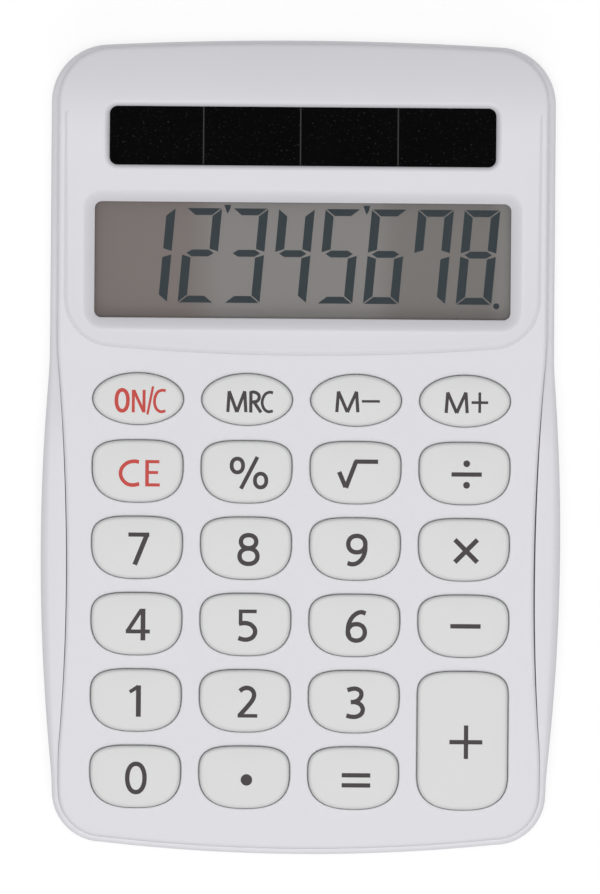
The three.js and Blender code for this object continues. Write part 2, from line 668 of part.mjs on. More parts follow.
function rearCover() {
  const body = solid(stacked(shellOutline, [
    [SHELL_FOOT_ROUND, FOOT_STAND],
    [SHELL_FOOT_ROUND / 3, FOOT_STAND + SHELL_FOOT_ROUND / 3],
    [0, FOOT_STAND + SHELL_FOOT_ROUND],
    [0, (y) => rimHeight(y) - SHELL_EDGE_ROUND],
    [SHELL_EDGE_ROUND / 4, (y) => rimHeight(y) - SHELL_EDGE_ROUND / 3],
    [SHELL_EDGE_ROUND, rimHeight],
  ]));
  const lowHollow = stacked(coverOutline, [[LEDGE_WIDTH, SHELL_FLOOR], [LEDGE_WIDTH, LEDGE + OVERRUN]]);
  const highHollow = stacked(coverOutline, [[-SEAM_GAP, LEDGE], [-SEAM_GAP, FACE + OVERRUN]]);
  const root = SHELL_FLOOR - PANEL_DEPTH;
  const bosses = CASE_SCREWS.map(([x, y]) => rod(x, y, SHELL_BOSS_RADIUS, root, BOSS_FOOT));
  const posts = [];
  const rowGap = (row) => KEYS_LOW + KEY_HEIGHT / 2 + (row + 1 / 2) * ROW_PITCH;
  for (const y of [rowGap(0), rowGap(2), WINDOW_Y]) {
    for (const side of SIDES) {
      posts.push(rod(side * COLUMN_PITCH, y, POST_RADIUS, root, BOARD_BOTTOM));
    }
  }
  posts.push(rod(0, rowGap(1), POST_RADIUS, root, BOARD_BOTTOM));
  const screwHoles = CASE_SCREWS.flatMap(([x, y]) => [
    rod(x, y, SCREW_HEAD_RADIUS + HEAD_RECESS_GAP, FOOT_STAND - OVERRUN, SHELL_FLOOR),
    rod(x, y, SCREW_RADIUS + SCREW_CLEARANCE, SHELL_FLOOR - OVERRUN, BOSS_FOOT + OVERRUN),
  ]);
  const footHoles = FEET.map(([x, y]) =>
    rod(x, y, FOOT_RADIUS + FOOT_RECESS_GAP, FOOT_STAND - OVERRUN, FOOT_STAND + FOOT_RECESS_DEPTH),
  );
  const panel = stacked(roundedRectangle(PANEL_WIDTH, PANEL_LENGTH, PANEL_CORNER), [
    [0, FOOT_STAND - OVERRUN],
    [0, FOOT_STAND + PANEL_DEPTH],
  ]);
  const wellRadius = BOSS_RADIUS + SEAM_GAP;
  const bossWells = [
    ...CASE_SCREWS.map(([x, y]) => rod(x, y, wellRadius, BOSS_FOOT, LEDGE + OVERRUN)),
    ...BOARD_SCREWS.map(([x, y]) => rod(x, y, wellRadius, BOARD_TOP, LEDGE + OVERRUN)),
  ];
  const tray = cutFrom(body, [lowHollow, highHollow, ...bossWells]);
  return geometryOf(cutFrom(joined(tray, [...bosses, ...posts]), [...screwHoles, ...footHoles, panel]));
}

function keyCap(shape) {
  const cap = solid(stacked(keyOutline(shape), [
    [-KEY_FLANGE_REACH, FLANGE_BOTTOM],
    [-KEY_FLANGE_REACH, FLANGE_TOP],
    [0, FLANGE_TOP],
    [0, KEY_EDGE_TOP - KEY_EDGE_ROUND],
    [KEY_EDGE_ROUND, KEY_EDGE_TOP],
    [KEY_EDGE_ROUND, KEY_EDGE_TOP + KEY_CROWN, KEY_CROWN_SHARE],
  ]));
  const inside = FLANGE_BOTTOM + KEY_FLANGE_THICKNESS / 2;
  const plunger = rod(0, 0, KEY_PLUNGER_RADIUS, PLUNGER_BOTTOM, inside, DOME_STEPS);
  return geometryOf(joined(cap, [plunger]));
}

// Silicone sheet between the keys and the board, with a hollow dome under each key.
function keyMembrane() {
  const sheetHigh = KEYS_HIGH + KEY_FLANGE_REACH;
  const sheetLow = KEYS_LOW - KEY_FLANGE_REACH;
  const sheet = solid(stacked(coverOutline, [
    [COVER_WALL + BOARD_EDGE_GAP, BOARD_TOP],
    [COVER_WALL + BOARD_EDGE_GAP, SHEET_TOP],
  ])).intersect(solid(block([-SHELL_HALF, sheetLow, SHELL_FLOOR], [SHELL_HALF, sheetHigh, FACE])));
  const domes = KEYS.map(({ x, y }) =>
    turned([
      [0, SHEET_TOP - SHEET_THICKNESS / 2],
      [DOME_BASE_RADIUS, SHEET_TOP - SHEET_THICKNESS / 2],
      [DOME_BASE_RADIUS, SHEET_TOP],
      [DOME_TOP_RADIUS, DOME_TOP],
      [0, DOME_TOP],
    ], DOME_STEPS).translate(x, y, 0),
  );
  const hollows = KEYS.map(({ x, y }) =>
    turned([
      [0, BOARD_TOP - OVERRUN],
      [DOME_BASE_RADIUS - DOME_WALL, BOARD_TOP - OVERRUN],
      [DOME_BASE_RADIUS - DOME_WALL, BOARD_TOP],
      [DOME_TOP_RADIUS - DOME_WALL, DOME_TOP - DOME_WALL],
      [0, DOME_TOP - DOME_WALL],
    ], DOME_STEPS).translate(x, y, 0),
  );
  return geometryOf(cutFrom(joined(sheet, domes), hollows));
}

function circuitBoard() {
  const boardLow = KEYS_LOW - KEY_FLANGE_REACH;
  const boardHigh = SOLAR_Y + solarPlateHeight / 2;
  const slab = solid(stacked(coverOutline, [
    [LEDGE_WIDTH + BOARD_EDGE_GAP, BOARD_BOTTOM],
    [LEDGE_WIDTH + BOARD_EDGE_GAP, BOARD_TOP],
  ])).intersect(solid(block([-SHELL_HALF, boardLow, SHELL_FLOOR], [SHELL_HALF, boardHigh, FACE])));
  const holes = BOARD_SCREWS.map(([x, y]) =>
    rod(x, y, SCREW_RADIUS + SCREW_CLEARANCE, BOARD_BOTTOM - OVERRUN, BOARD_TOP + OVERRUN),
  );
  return geometryOf(cutFrom(slab, holes));
}

// Screw that points up, with its head's shoulder at height zero and a cross cut in its head.
function screw(length) {
  const body = solid(turned([
    [0, -SCREW_HEAD_HEIGHT],
    [SCREW_HEAD_RADIUS, -SCREW_HEAD_HEIGHT],
    [SCREW_HEAD_RADIUS, 0],
    [SCREW_RADIUS, 0],
    [SCREW_RADIUS, length - SCREW_RADIUS],
    [SCREW_RADIUS / 3, length],
    [0, length],
  ]));
  const half = SCREW_SLOT_LENGTH / 2;
  const side = SCREW_SLOT_WIDTH / 2;
  const low = -SCREW_HEAD_HEIGHT - OVERRUN;
  const high = -SCREW_HEAD_HEIGHT + SCREW_SLOT_DEPTH;
  const slots = [
    block([-half, -side, low], [half, side, high]),
    block([-side, -half, low], [side, half, high]),
  ];
  return geometryOf(cutFrom(body, slots));
}

function rubberFoot() {
  return turned([
    [0, 0],
    [FOOT_RADIUS - FOOT_ROUND, 0],
    [FOOT_RADIUS, FOOT_ROUND],
    [FOOT_RADIUS, FOOT_STAND + FOOT_RECESS_DEPTH],
    [0, FOOT_STAND + FOOT_RECESS_DEPTH],
  ]);
}

// Flat plate of the display stack, from its top surface down, in the display's frame.
function displayPlate(width, low, high, top, thickness) {
  return block([-width / 2, low, top - thickness], [width / 2, high, top]);
}

// Flexible printed strip that drops in an S from the glass's ledge to the board.
const RIBBON_STEPS = 8;

function displayConnector(glassUnderside) {
  const glassEnd = new THREE.Vector3(0, -plateHeight / 2 + GLASS_LEDGE - RIB_GAP, glassUnderside)
    .applyMatrix4(displayFrame);
  const boardEnd = glassEnd.y - GLASS_LEDGE - CONNECTOR_LAND - GLASS_LEDGE_OVERHANG;
  const highZ = glassEnd.z - PLATE_GAP - CONNECTOR_THICKNESS;
  const upper = [];
  const lower = [];
  for (let i = 0; i <= RIBBON_STEPS; i++) {
    const share = i / RIBBON_STEPS;
    const y = boardEnd + (glassEnd.y - boardEnd) * share;
    const landShare = CONNECTOR_LAND / (glassEnd.y - boardEnd);
    const climb = rise((share - landShare / 2) / (1 - landShare));
    const z = BOARD_TOP + (highZ - Math.sin(HOOD_TILT) * GLASS_LEDGE - BOARD_TOP) * climb;
    lower.push(new THREE.Vector2(y, z));
    upper.unshift(new THREE.Vector2(y, z + CONNECTOR_THICKNESS));
  }
  const width = 2 * (BOARD_SCREW_X - BOSS_RADIUS - CONNECTOR_BOSS_GAP);
  const turn = new THREE.Matrix4().makeBasis(
    new THREE.Vector3(0, 1, 0),
    new THREE.Vector3(0, 0, 1),
    new THREE.Vector3(1, 0, 0),
  );
  return new THREE.ExtrudeGeometry(new THREE.Shape([...lower, ...upper]), {
    depth: width,
    bevelEnabled: false,
    steps: 1,
  }).applyMatrix4(turn).translate(-width / 2, 0, 0);
}

// Wire from the solar cell's underside down to the board, in a loose bend.
const WIRE_SIDES = 8;
const WIRE_STEPS = 10;

function solarWire(x) {
  const high = solarBottom - WIRE_END_GAP;
  const low = BOARD_TOP + WIRE_END_GAP;
  const drop = high - low;
  const path = new THREE.CatmullRomCurve3([
    new THREE.Vector3(x, SOLAR_Y, high),
    new THREE.Vector3(x, SOLAR_Y, high - drop / 6),
    new THREE.Vector3(x, SOLAR_Y - WIRE_SLACK / 2, (high + low) / 2),
    new THREE.Vector3(x, SOLAR_Y - WIRE_SLACK, low + drop / 6),
    new THREE.Vector3(x, SOLAR_Y - WIRE_SLACK, low),
  ]);
  const section = new THREE.Shape();
  for (let i = 0; i < WIRE_SIDES; i++) {
    const angle = (i / WIRE_SIDES) * 2 * Math.PI;
    const point = [WIRE_RADIUS * Math.cos(angle), WIRE_RADIUS * Math.sin(angle)];
    if (i === 0) section.moveTo(...point);
    else section.lineTo(...point);
  }
  return new THREE.ExtrudeGeometry(section, { steps: WIRE_STEPS, extrudePath: path });
}

// Leads that leave a lying body at its ends and drop to the board.
function droppedLead(from, side, offset, height) {
  const half = LEAD_THICKNESS / 2;
  const end = from + side * LEAD_REACH;
  const along = block(
    [Math.min(from - side * half, end), offset - half, height - half],
    [Math.max(from - side * half, end), offset + half, height + half],
  );
  const down = block(
    [Math.min(end, end - side * LEAD_THICKNESS), offset - half, BOARD_TOP],
    [Math.max(end, end - side * LEAD_THICKNESS), offset + half, height + half],
  );
  return [along, down];
}

function storageCapacitor() {
  const half = CAPACITOR_LENGTH / 2;
  const groove = half - CAPACITOR_RADIUS / 2;
  const inner = CAPACITOR_RADIUS - CAPACITOR_GROOVE;
  const can = solid(turned([
    [0, -half],
    [inner, -half],
    [CAPACITOR_RADIUS, -half + CAPACITOR_GROOVE],
    [CAPACITOR_RADIUS, groove - CAPACITOR_GROOVE],
    [inner, groove],
    [CAPACITOR_RADIUS, groove + CAPACITOR_GROOVE],
    [inner, half],
    [0, half],
  ]).rotateY(Math.PI / 2).translate(CAPACITOR_X, 0, BOARD_TOP + CAPACITOR_RADIUS));
  const leads = SIDES.flatMap((side) =>
    droppedLead(CAPACITOR_X + half, 1, (side * CAPACITOR_RADIUS) / 2, BOARD_TOP + CAPACITOR_RADIUS),
  );
  return geometryOf(joined(can, leads).translate(0, SOLAR_Y, 0));
}

function clampDiode() {
  const half = DIODE_LENGTH / 2;
  const height = BOARD_TOP + DIODE_RADIUS;
  const bead = solid(turned([
    [0, -half],
    [DIODE_RADIUS / 2, -half],
    [DIODE_RADIUS, -half + DIODE_RADIUS / 2],
    [DIODE_RADIUS, half - DIODE_RADIUS / 2],
    [DIODE_RADIUS / 2, half],
    [0, half],
  ]).rotateY(Math.PI / 2).translate(DIODE_X, 0, height));
  const leads = SIDES.flatMap((side) => droppedLead(DIODE_X + side * half, side, 0, height));
  return geometryOf(joined(bead, leads).translate(0, SOLAR_Y, 0));
}

// Flattened drop of resin that covers the chip on the board's underside.
function chipCover() {
  const points = [[0, BOARD_BOTTOM - CHIP_COVER_HEIGHT]];
  for (let i = 1; i < KEY_QUARTER_STEPS; i++) {
    const angle = (i / KEY_QUARTER_STEPS) * (Math.PI / 2);
    points.push([
      CHIP_COVER_RADIUS * Math.sin(angle),
      BOARD_BOTTOM - CHIP_COVER_HEIGHT * Math.cos(angle),
    ]);
  }
  points.push([CHIP_COVER_RADIUS, BOARD_BOTTOM], [0, BOARD_BOTTOM]);
  return turned(points);
}

// Materials
const whitePlastic = finish(0xdee0e4, 0.42);
const shellPlastic = finish(0xdbdbe0, 0.45);
const keyPlastic = finish(0xdddddd, 0.4);
const silicone = finish(0xc9cbc8, 0.7);
const boardFinish = finish(0x3f6b46, 0.55);
const clearPane = clearFinish(0xf2f4f4, 0.1, 0.3);
const polariserFilm = clearFinish(0xb8b6ae, 0.25, 0.5);
const displayGlass = clearFinish(0xdfe6e2, 0.08, 0.4);
const reflectorFilm = finish(0x7b7672, 0.5);
const ribbonFilm = finish(0xb0834a, 0.45);
const solarFinish = finish(0x0a090c, 0.2);
const redSleeve = finish(0xa8201c, 0.5);
const blackSleeve = finish(0x161616, 0.5);
const epoxy = finish(0x101010, 0.35);
const capacitorSleeve = finish(0x1d2a4a, 0.4);
const diodeGlass = finish(0xb4582c, 0.2);
const screwSteel = finish(0xb9bbbf, 0.35, 1);
const footRubber = finish(0x2a2a2b, 0.85);

// Case
place("front_cover", frontCover(), whitePlastic);
place("rear_cover", rearCover(), shellPlastic);

// Display stack, in the hood's tilted frame
const display = new THREE.Group();
display.applyMatrix4(displayFrame);
calculator.add(display);
const low = -plateHeight / 2;
const high = plateHeight / 2;
const paneTop = -SKIN - PLATE_GAP;
const polariserTop = paneTop - PANE_THICKNESS - PLATE_GAP;
const frontGlassTop = polariserTop - POLARISER_THICKNESS - PLATE_GAP;
const rearGlassTop = frontGlassTop - GLASS_THICKNESS - PLATE_GAP;
const reflectorTop = rearGlassTop - GLASS_THICKNESS - PLATE_GAP;
const ledgeLow = low - GLASS_LEDGE_OVERHANG;
const rearLow = low + GLASS_LEDGE;
place("display_window", displayPlate(plateWidth, low, high, paneTop, PANE_THICKNESS), clearPane, display);
place(
  "lcd_front_polariser",
  displayPlate(plateWidth, low, high, polariserTop, POLARISER_THICKNESS), polariserFilm, display,
);
place(
  "lcd_front_glass",
  displayPlate(plateWidth, ledgeLow, high, frontGlassTop, GLASS_THICKNESS), displayGlass, display,
);
place(
  "lcd_rear_glass",
  displayPlate(plateWidth, rearLow, high, rearGlassTop, GLASS_THICKNESS), displayGlass, display,
);
place(
  "lcd_reflector",
  displayPlate(plateWidth, rearLow, high, reflectorTop, REFLECTOR_THICKNESS), reflectorFilm, display,
);
place("lcd_connector", displayConnector(frontGlassTop - GLASS_THICKNESS), ribbonFilm);

// Solar cell and electronics
place(
  "solar_cell",
  block(
    [-solarPlateWidth / 2, SOLAR_Y - solarPlateHeight / 2, solarBottom],
    [solarPlateWidth / 2, SOLAR_Y + solarPlateHeight / 2, solarTop],
  ),
  solarFinish,
);
place("solar_wire_red", solarWire(solarPlateWidth / 2 - WIRE_FROM_EDGE), redSleeve);
place("solar_wire_black", solarWire(-solarPlateWidth / 2 + WIRE_FROM_EDGE), blackSleeve);
place("circuit_board", circuitBoard(), boardFinish);
place("chip_cover", chipCover(), epoxy).position.set(0, WINDOW_Y, 0);
place("storage_capacitor", storageCapacitor(), capacitorSleeve);
place("clamp_diode", clampDiode(), diodeGlass);

// Keypad
place("key_membrane", keyMembrane(), silicone);
for (const { name, shape, x, y } of KEYS) {
  place(name, keyCap(shape), keyPlastic).position.set(x, y, 0);
}

// Screws and feet
CASE_SCREWS.forEach(([x, y], i) => {
  const length = BOSS_FOOT - SHELL_FLOOR + SCREW_BITE - SCREW_RADIUS / 2;
  place(`case_screw_${i + 1}`, screw(length), screwSteel).position.set(x, y, SHELL_FLOOR);
});
BOARD_SCREWS.forEach(([x, y], i) => {
  const length = BOARD_THICKNESS + SCREW_BITE - SCREW_RADIUS / 2;
  place(`board_screw_${i + 1}`, screw(length), screwSteel).position.set(x, y, BOARD_BOTTOM);
});
FEET.forEach(([x, y], i) => {
  place(`rubber_foot_${i + 1}`, rubberFoot(), footRubber).position.set(x, y, 0);
});

export default calculator;
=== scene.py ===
"""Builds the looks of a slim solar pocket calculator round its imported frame."""

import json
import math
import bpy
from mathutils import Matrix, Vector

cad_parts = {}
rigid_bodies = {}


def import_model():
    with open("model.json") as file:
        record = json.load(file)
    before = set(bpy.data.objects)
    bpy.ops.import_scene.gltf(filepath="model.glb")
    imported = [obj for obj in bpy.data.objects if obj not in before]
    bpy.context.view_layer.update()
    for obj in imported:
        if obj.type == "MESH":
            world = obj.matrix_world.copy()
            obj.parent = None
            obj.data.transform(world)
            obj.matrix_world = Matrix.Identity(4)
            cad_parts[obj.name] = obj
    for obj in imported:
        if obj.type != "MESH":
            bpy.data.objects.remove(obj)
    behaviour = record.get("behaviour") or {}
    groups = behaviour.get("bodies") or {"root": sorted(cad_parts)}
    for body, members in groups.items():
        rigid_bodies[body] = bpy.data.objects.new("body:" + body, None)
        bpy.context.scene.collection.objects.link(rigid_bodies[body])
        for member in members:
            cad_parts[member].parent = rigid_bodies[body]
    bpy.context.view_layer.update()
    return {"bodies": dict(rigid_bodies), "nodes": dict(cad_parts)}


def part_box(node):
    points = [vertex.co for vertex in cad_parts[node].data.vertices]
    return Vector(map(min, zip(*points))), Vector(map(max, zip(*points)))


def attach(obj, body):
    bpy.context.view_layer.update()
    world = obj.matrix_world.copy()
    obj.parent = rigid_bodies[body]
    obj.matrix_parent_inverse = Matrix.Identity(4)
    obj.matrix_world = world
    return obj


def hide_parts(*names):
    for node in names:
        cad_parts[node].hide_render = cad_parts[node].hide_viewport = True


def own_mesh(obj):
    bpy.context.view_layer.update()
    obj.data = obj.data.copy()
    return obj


bl_info = {
    "name": "Pocket calculator",
    "version": (1, 0, 0),
    "blender": (4, 5, 0),
    "location": "View3D > Sidebar > Calculator",
    "description": "Builds a slim solar calculator and its studio round a packed frame",
    "category": "Add Mesh",
}

import bmesh
import bpy
import numpy as np
from mathutils.geometry import delaunay_2d_cdt

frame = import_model()

# Shapes are worked out in millimetres and become metres when a mesh is made
MM = 0.001
WELD, SAME_POINT = 0.0002, 1e-5
SHARP_ANGLE = math.radians(38)


def box_of(cad_node):
    """Lowest and highest corner of a CAD node, in millimetres."""
    return [np.array(corner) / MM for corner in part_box(cad_node)]


def middle_of(cad_node):
    """Middle of a CAD node's box."""
    return sum(box_of(cad_node)) / 2


def mm(name):
    """A size that the user has set, in millimetres."""
    return getattr(bpy.context.scene.calculator_sizes, name) / MM


# Keys
KEY_WIDTH, KEY_HEIGHT, OVAL_KEY_HEIGHT = 12.32, 8.44, 6.97
KEY_SHOULDER = 0.7
TALL_KEY_STRETCH = 10.58
UPPER_POWER, LOWER_POWER, OVAL_POWER = 3.3, 2.6, 2.0
KEY_FILL, KEY_CROWN = 0.06, 0.12
HOLE_GAP_ABOVE, HOLE_GAP_BELOW = 0.75, 0.48
KEY_FLANGE_REACH = 0.5
PLUNGER_RADIUS, PLUNGER_CHAMFER, PLUNGER_ROOT = 1.8, 0.05, 0.4
KEY_POINTS, KEY_FINE_POINTS = 112, 1440
OVAL_KEYS = ("key_on_clear", "key_memory_recall", "key_memory_minus", "key_memory_plus")
KEYS = [body for body in frame["bodies"] if body.startswith("key_")]

# Heights, stacked up from the feet
FOOT_STAND, SHELL_FLOOR, BOSS_FOOT = 0.8, 2.2, 3.3
BOARD_TOP, LEDGE, SHEET_TOP, DOME_TOP = 4.4, 4.7, 5.0, 6.5
PLUNGER_BOTTOM, FLANGE_BOTTOM, FLANGE_TOP = 6.55, 6.8, 7.6
COVER_UNDERSIDE, SHELL_RIM, FACE, KEY_EDGE_TOP = 7.7, 8.7, 9.2, 9.88

# Ends of the case, as the frame has them
(_, COVER_BOTTOM, _), (_, COVER_TOP, _) = box_of("front_cover")
SHELL_BOTTOM, SHELL_TOP = box_of("rear_cover")[0][1], box_of("rear_cover")[1][1]
CASE_LENGTH = SHELL_TOP - SHELL_BOTTOM
KEYS_LOW = box_of("key_0")[0][1] + KEY_FLANGE_REACH
KEYS_HIGH = box_of("key_on_clear")[1][1] - KEY_FLANGE_REACH

# Sides of the case; each span is a middle and a reach above and below it, as shares of the length
COVER_HALF = 33.91
SHELL_HALF = COVER_HALF + 1.07
COVER_CORNERS, SHELL_CORNERS = (7.4, 6.2), (8.0, 7.0)
DISPLAY_END_ARC, KEY_END_ARC = 500.0, 250.0
COVER_PINCH, PINCH_SPAN = 1.55, (-0.168, 0.285, 0.258)
COVER_TAPER, COVER_TAPER_START, COVER_TAPER_SPAN = 0.6, 0.364, 0.08
GRIP_BULGE, GRIP_SPAN = 1.2, (-0.174, 0.273, 0.234)
SHELL_TAPER, TAPER_SPAN = 0.8, 0.51
BOW_FOOT = 0.12
COVER_WALL, LEDGE_WIDTH = 1.5, 1.3
SEAM_SPAN = (-0.15, 0.26, 0.24)
SHELL_FOOT_ROUND, SHELL_EDGE_ROUND = 0.75, 1.1
DISPLAY_RIM_DROP, RIM_DROP_LENGTH = 2.5, 22.0
KEY_END_RIM_DROP, KEY_END_RIM_LENGTH = 1.0, 12.0

# Hood with its two windows
HOOD_LOW = KEYS_HIGH + 2.9
HOOD_TOP, ROLL_START = COVER_TOP - 9.9, COVER_TOP - 15.3
HOOD_HALF, HOOD_CORNER, HOOD_LOW_EDGE_ARC = COVER_HALF - 1.1, 6.0, 330.0
HOOD_GROUND_EASE, HOOD_SPREAD = 1.6, 8
HOOD_GROOVE_PLACE, HOOD_GROOVE_END = 0.3, HOOD_TOP + 4
HOOD_STEP, HOOD_TILT, ROLL_RADIUS = 0.35, math.radians(4.5), 40.0
END_ROLL_START, END_ROLL_RADIUS = COVER_TOP - 8.4, 55.0
SKIN = HOOD_STEP + COVER_WALL
WINDOW_WIDTH, WINDOW_HEIGHT, WINDOW_CORNER = 57.72, 16.15, 1.0
WINDOW_Y = HOOD_LOW + 4.74 + WINDOW_HEIGHT / 2
WINDOW_ROLL_POWER, SOLAR_ROLL_POWER = 1.45, 1.8
SOLAR_WIDTH, SOLAR_HEIGHT, SOLAR_CORNER = 53.55, 8.16, 1.1
SOLAR_Y = middle_of("solar_cell")[1]
SOLAR_MIDDLE = (-0.09, SOLAR_Y - 0.1)
SOLAR_POCKET_GAP, SOLAR_POCKET_CORNER = 0.3, 0.3
SOLAR_POCKET_TOP = box_of("solar_cell")[1][2] + 0.1
PANE_GAP, PANE_THICKNESS = 0.15, 0.8

# Screws, bosses and feet
SCREW_HOLE_RADIUS, HEAD_RECESS_RADIUS, HEAD_CHAMFER = 0.9, 1.7, 0.15
BOSS_RADIUS, SHELL_BOSS_RADIUS, SCREW_BITE = 1.75, 2.2, 3.4
BOSS_CLEARANCE, BORE_CLEARANCE, BOSS_CHAMFER, BORE_CHAMFER = 0.02, 0.05, 0.15, 0.2
CASE_SCREWS = [middle_of(f"case_screw_{i}")[:2] for i in range(1, 5)]
BOARD_SCREWS = [middle_of(f"board_screw_{i}")[:2] for i in range(1, 5)]
FEET = [middle_of(f"rubber_foot_{i}")[:2] for i in range(1, 5)]
FOOT_RADIUS, FOOT_RECESS_GAP, FOOT_CHAMFER, FOOT_TOP = 4.0, 0.15, 0.2, FOOT_STAND + 0.8
PANEL_WIDTH, PANEL_LENGTH, PANEL_DEPTH, PANEL_CORNER = 44.0, 26.0, 0.3, 2.0

# Steps that curves are cut into
END_STEPS, SIDE_STEPS, CORNER_STEPS = 12, 90, 12
HOOD_SIDE_STEPS, HOOD_CORNER_STEPS, HOOD_LOW_STEPS = 33, 16, 25
COVER_EDGE_STEPS, HOLE_EDGE_STEPS, SHELL_FOOT_STEPS, SHELL_RIM_STEPS = 7, 5, 6, 12
WINDOW_ROLL_STEPS, SOLAR_ROLL_STEPS = 12, 8
KEY_EDGE_STEPS, KEY_CROWN_STEPS = 8, 14
FOOT_EDGE_STEPS, FOOT_STEPS, HEAD_EDGE_STEPS, SCREW_STEPS = 5, 64, 6, 40


# Curves of the case along its length


def rise(share):
    """Smooth step t^2 (3 - 2t) between 0 and 1."""
    t = np.clip(share, 0, 1)
    return t * t * (3 - 2 * t)


def swell(y, middle, above, below):
    """cos^2 hump: one at the middle of its span, none past either end of it."""
    from_middle = y / CASE_LENGTH - middle
    t = np.clip(from_middle / np.where(from_middle > 0, above, below), -1, 1)
    return np.cos(t * np.pi / 2) ** 2


def bow(y, middle, above, below):
    """Parabola 1 - t^2 with soft feet: one at the middle of its span, none past either end."""
    from_middle = y / CASE_LENGTH - middle
    t = from_middle / np.where(from_middle > 0, above, below)
    return soft_start(1 - t * t, BOW_FOOT)


def cover_side(y):
    """Half width of the cover: its widest, less a bow where it is pinched and the taper of its
    key end."""
    taper = COVER_TAPER * rise((-y / CASE_LENGTH - COVER_TAPER_START) / COVER_TAPER_SPAN)
    return COVER_HALF - COVER_PINCH * bow(y, *PINCH_SPAN) - taper


def shell_side(y):
    """Half width of the rear cover: its widest plus the grips' bow, less a slow taper."""
    taper = SHELL_TAPER * rise(-y / CASE_LENGTH / TAPER_SPAN)
    return SHELL_HALF + GRIP_BULGE * bow(y, *GRIP_SPAN) - taper


def hood_height(y):
    """A plane tilted up towards the display end, less a parabola where it rolls down and a
    second one that steepens its last stretch."""
    rolled = np.maximum(y - ROLL_START, 0) ** 2 / (2 * ROLL_RADIUS)
    ended = np.maximum(y - END_ROLL_START, 0) ** 2 / (2 * END_ROLL_RADIUS)
    return FACE + HOOD_STEP + math.tan(HOOD_TILT) * (y - HOOD_LOW) - rolled - ended


def soft_start(length, reach):
    """A straight climb from zero whose start is eased by a parabola, reach to either side."""
    eased = (length + reach) ** 2 / (4 * reach)
    return np.where(length > reach, length, np.where(length > -reach, eased, 0))


def around_height(y):
    """Height of the cover round the hood: flat, then a soft climb to the hood's own top."""
    eased = HOOD_LOW + soft_start(y - HOOD_LOW, HOOD_GROUND_EASE)
    left = np.clip(1 - (eased - HOOD_LOW) / (HOOD_TOP - HOOD_LOW), 0, 1)
    return np.where(y < HOOD_LOW - HOOD_GROUND_EASE, FACE, hood_height(eased) - HOOD_STEP * left)


def hood_inset(x, y):
    """How far a point is inside the hood's outline: the nearer of its side and its bowed low
    edge, and the distance to a round corner where both are near."""
    side = HOOD_HALF - np.abs(x)
    low = y - HOOD_LOW - x**2 / (2 * HOOD_LOW_EDGE_ARC)
    corner = HOOD_CORNER - np.hypot(HOOD_CORNER - side, HOOD_CORNER - low)
    return np.where((side < HOOD_CORNER) & (low < HOOD_CORNER), corner, np.minimum(side, low))


def top_height(x, y):
    """Height of the cover's face: the ground round the hood plus the hood's own step, which is
    part crisp and part spread out, with a fine bell-shaped groove at its foot."""
    crisp = bpy.context.scene.calculator_sizes.hood_edge_share
    inset = hood_inset(x, y) / mm("hood_edge_width")
    groove = mm("hood_groove") * np.exp(-((inset + HOOD_GROOVE_PLACE) / HOOD_GROOVE_PLACE) ** 2)
    step = crisp * rise(inset) + (1 - crisp) * rise(inset / HOOD_SPREAD)
    below = around_height(y)
    return below + (hood_height(y) - below) * step - groove * (y < HOOD_GROOVE_END)


def face_height(outline):
    """Height of the cover's face along an outline."""
    return top_height(outline[:, 0], outline[:, 1])


def ceiling_height(y):
    """Ceiling of the hollow: level below the keypad, then a skin's thickness under the hood."""
    return np.where(y <= HOOD_LOW, COVER_UNDERSIDE, hood_height(y) - SKIN)


def rim_height(y):
    """Height of the rear cover's rim: high along the grips, lower at both ends."""
    towards_display = rise((y - KEYS_HIGH + RIM_DROP_LENGTH / 2) / RIM_DROP_LENGTH)
    towards_key_end = rise((KEYS_LOW + KEY_END_RIM_LENGTH - y) / KEY_END_RIM_LENGTH)
    return SHELL_RIM - DISPLAY_RIM_DROP * towards_display - KEY_END_RIM_DROP * towards_key_end


# Outlines: closed loops of [x, y] points that run anticlockwise seen from above


def corner_arc(x, y, radius, start, steps=CORNER_STEPS):
    """Quarter circle: the middle plus radius times cosine and sine, turning clockwise."""
    angle = start - np.linspace(0, np.pi / 2, steps + 1)
    return np.c_[x + radius * np.cos(angle), y + radius * np.sin(angle)]


def mirrored(half):
    """Closes the right half of an outline, given from its top middle to its bottom middle."""
    left = half[1:-1][::-1] * [-1, 1]
    return np.concatenate([half, left])[::-1]


def case_outline(top, bottom, corners, side):
    """Bowed ends y = end -+ x^2 / 2R, round corners, and sides that follow a function of y."""
    top_x, bottom_x = side(top - corners[0]) - corners[0], side(bottom + corners[1]) - corners[1]
    top_y = top - top_x**2 / (2 * DISPLAY_END_ARC) - corners[0]
    bottom_y = bottom + bottom_x**2 / (2 * KEY_END_ARC) + corners[1]
    across_top = np.linspace(0, top_x, END_STEPS, endpoint=False)
    across_bottom = np.linspace(bottom_x, 0, END_STEPS + 1)[1:]
    along = np.linspace(top_y, bottom_y, SIDE_STEPS + 1)[1:-1]
    return mirrored(np.concatenate([
        np.c_[across_top, top - across_top**2 / (2 * DISPLAY_END_ARC)],
        corner_arc(top_x, top_y, corners[0], np.pi / 2),
        np.c_[side(along), along],
        corner_arc(bottom_x, bottom_y, corners[1], 0),
        np.c_[across_bottom, bottom + across_bottom**2 / (2 * KEY_END_ARC)],
    ]))


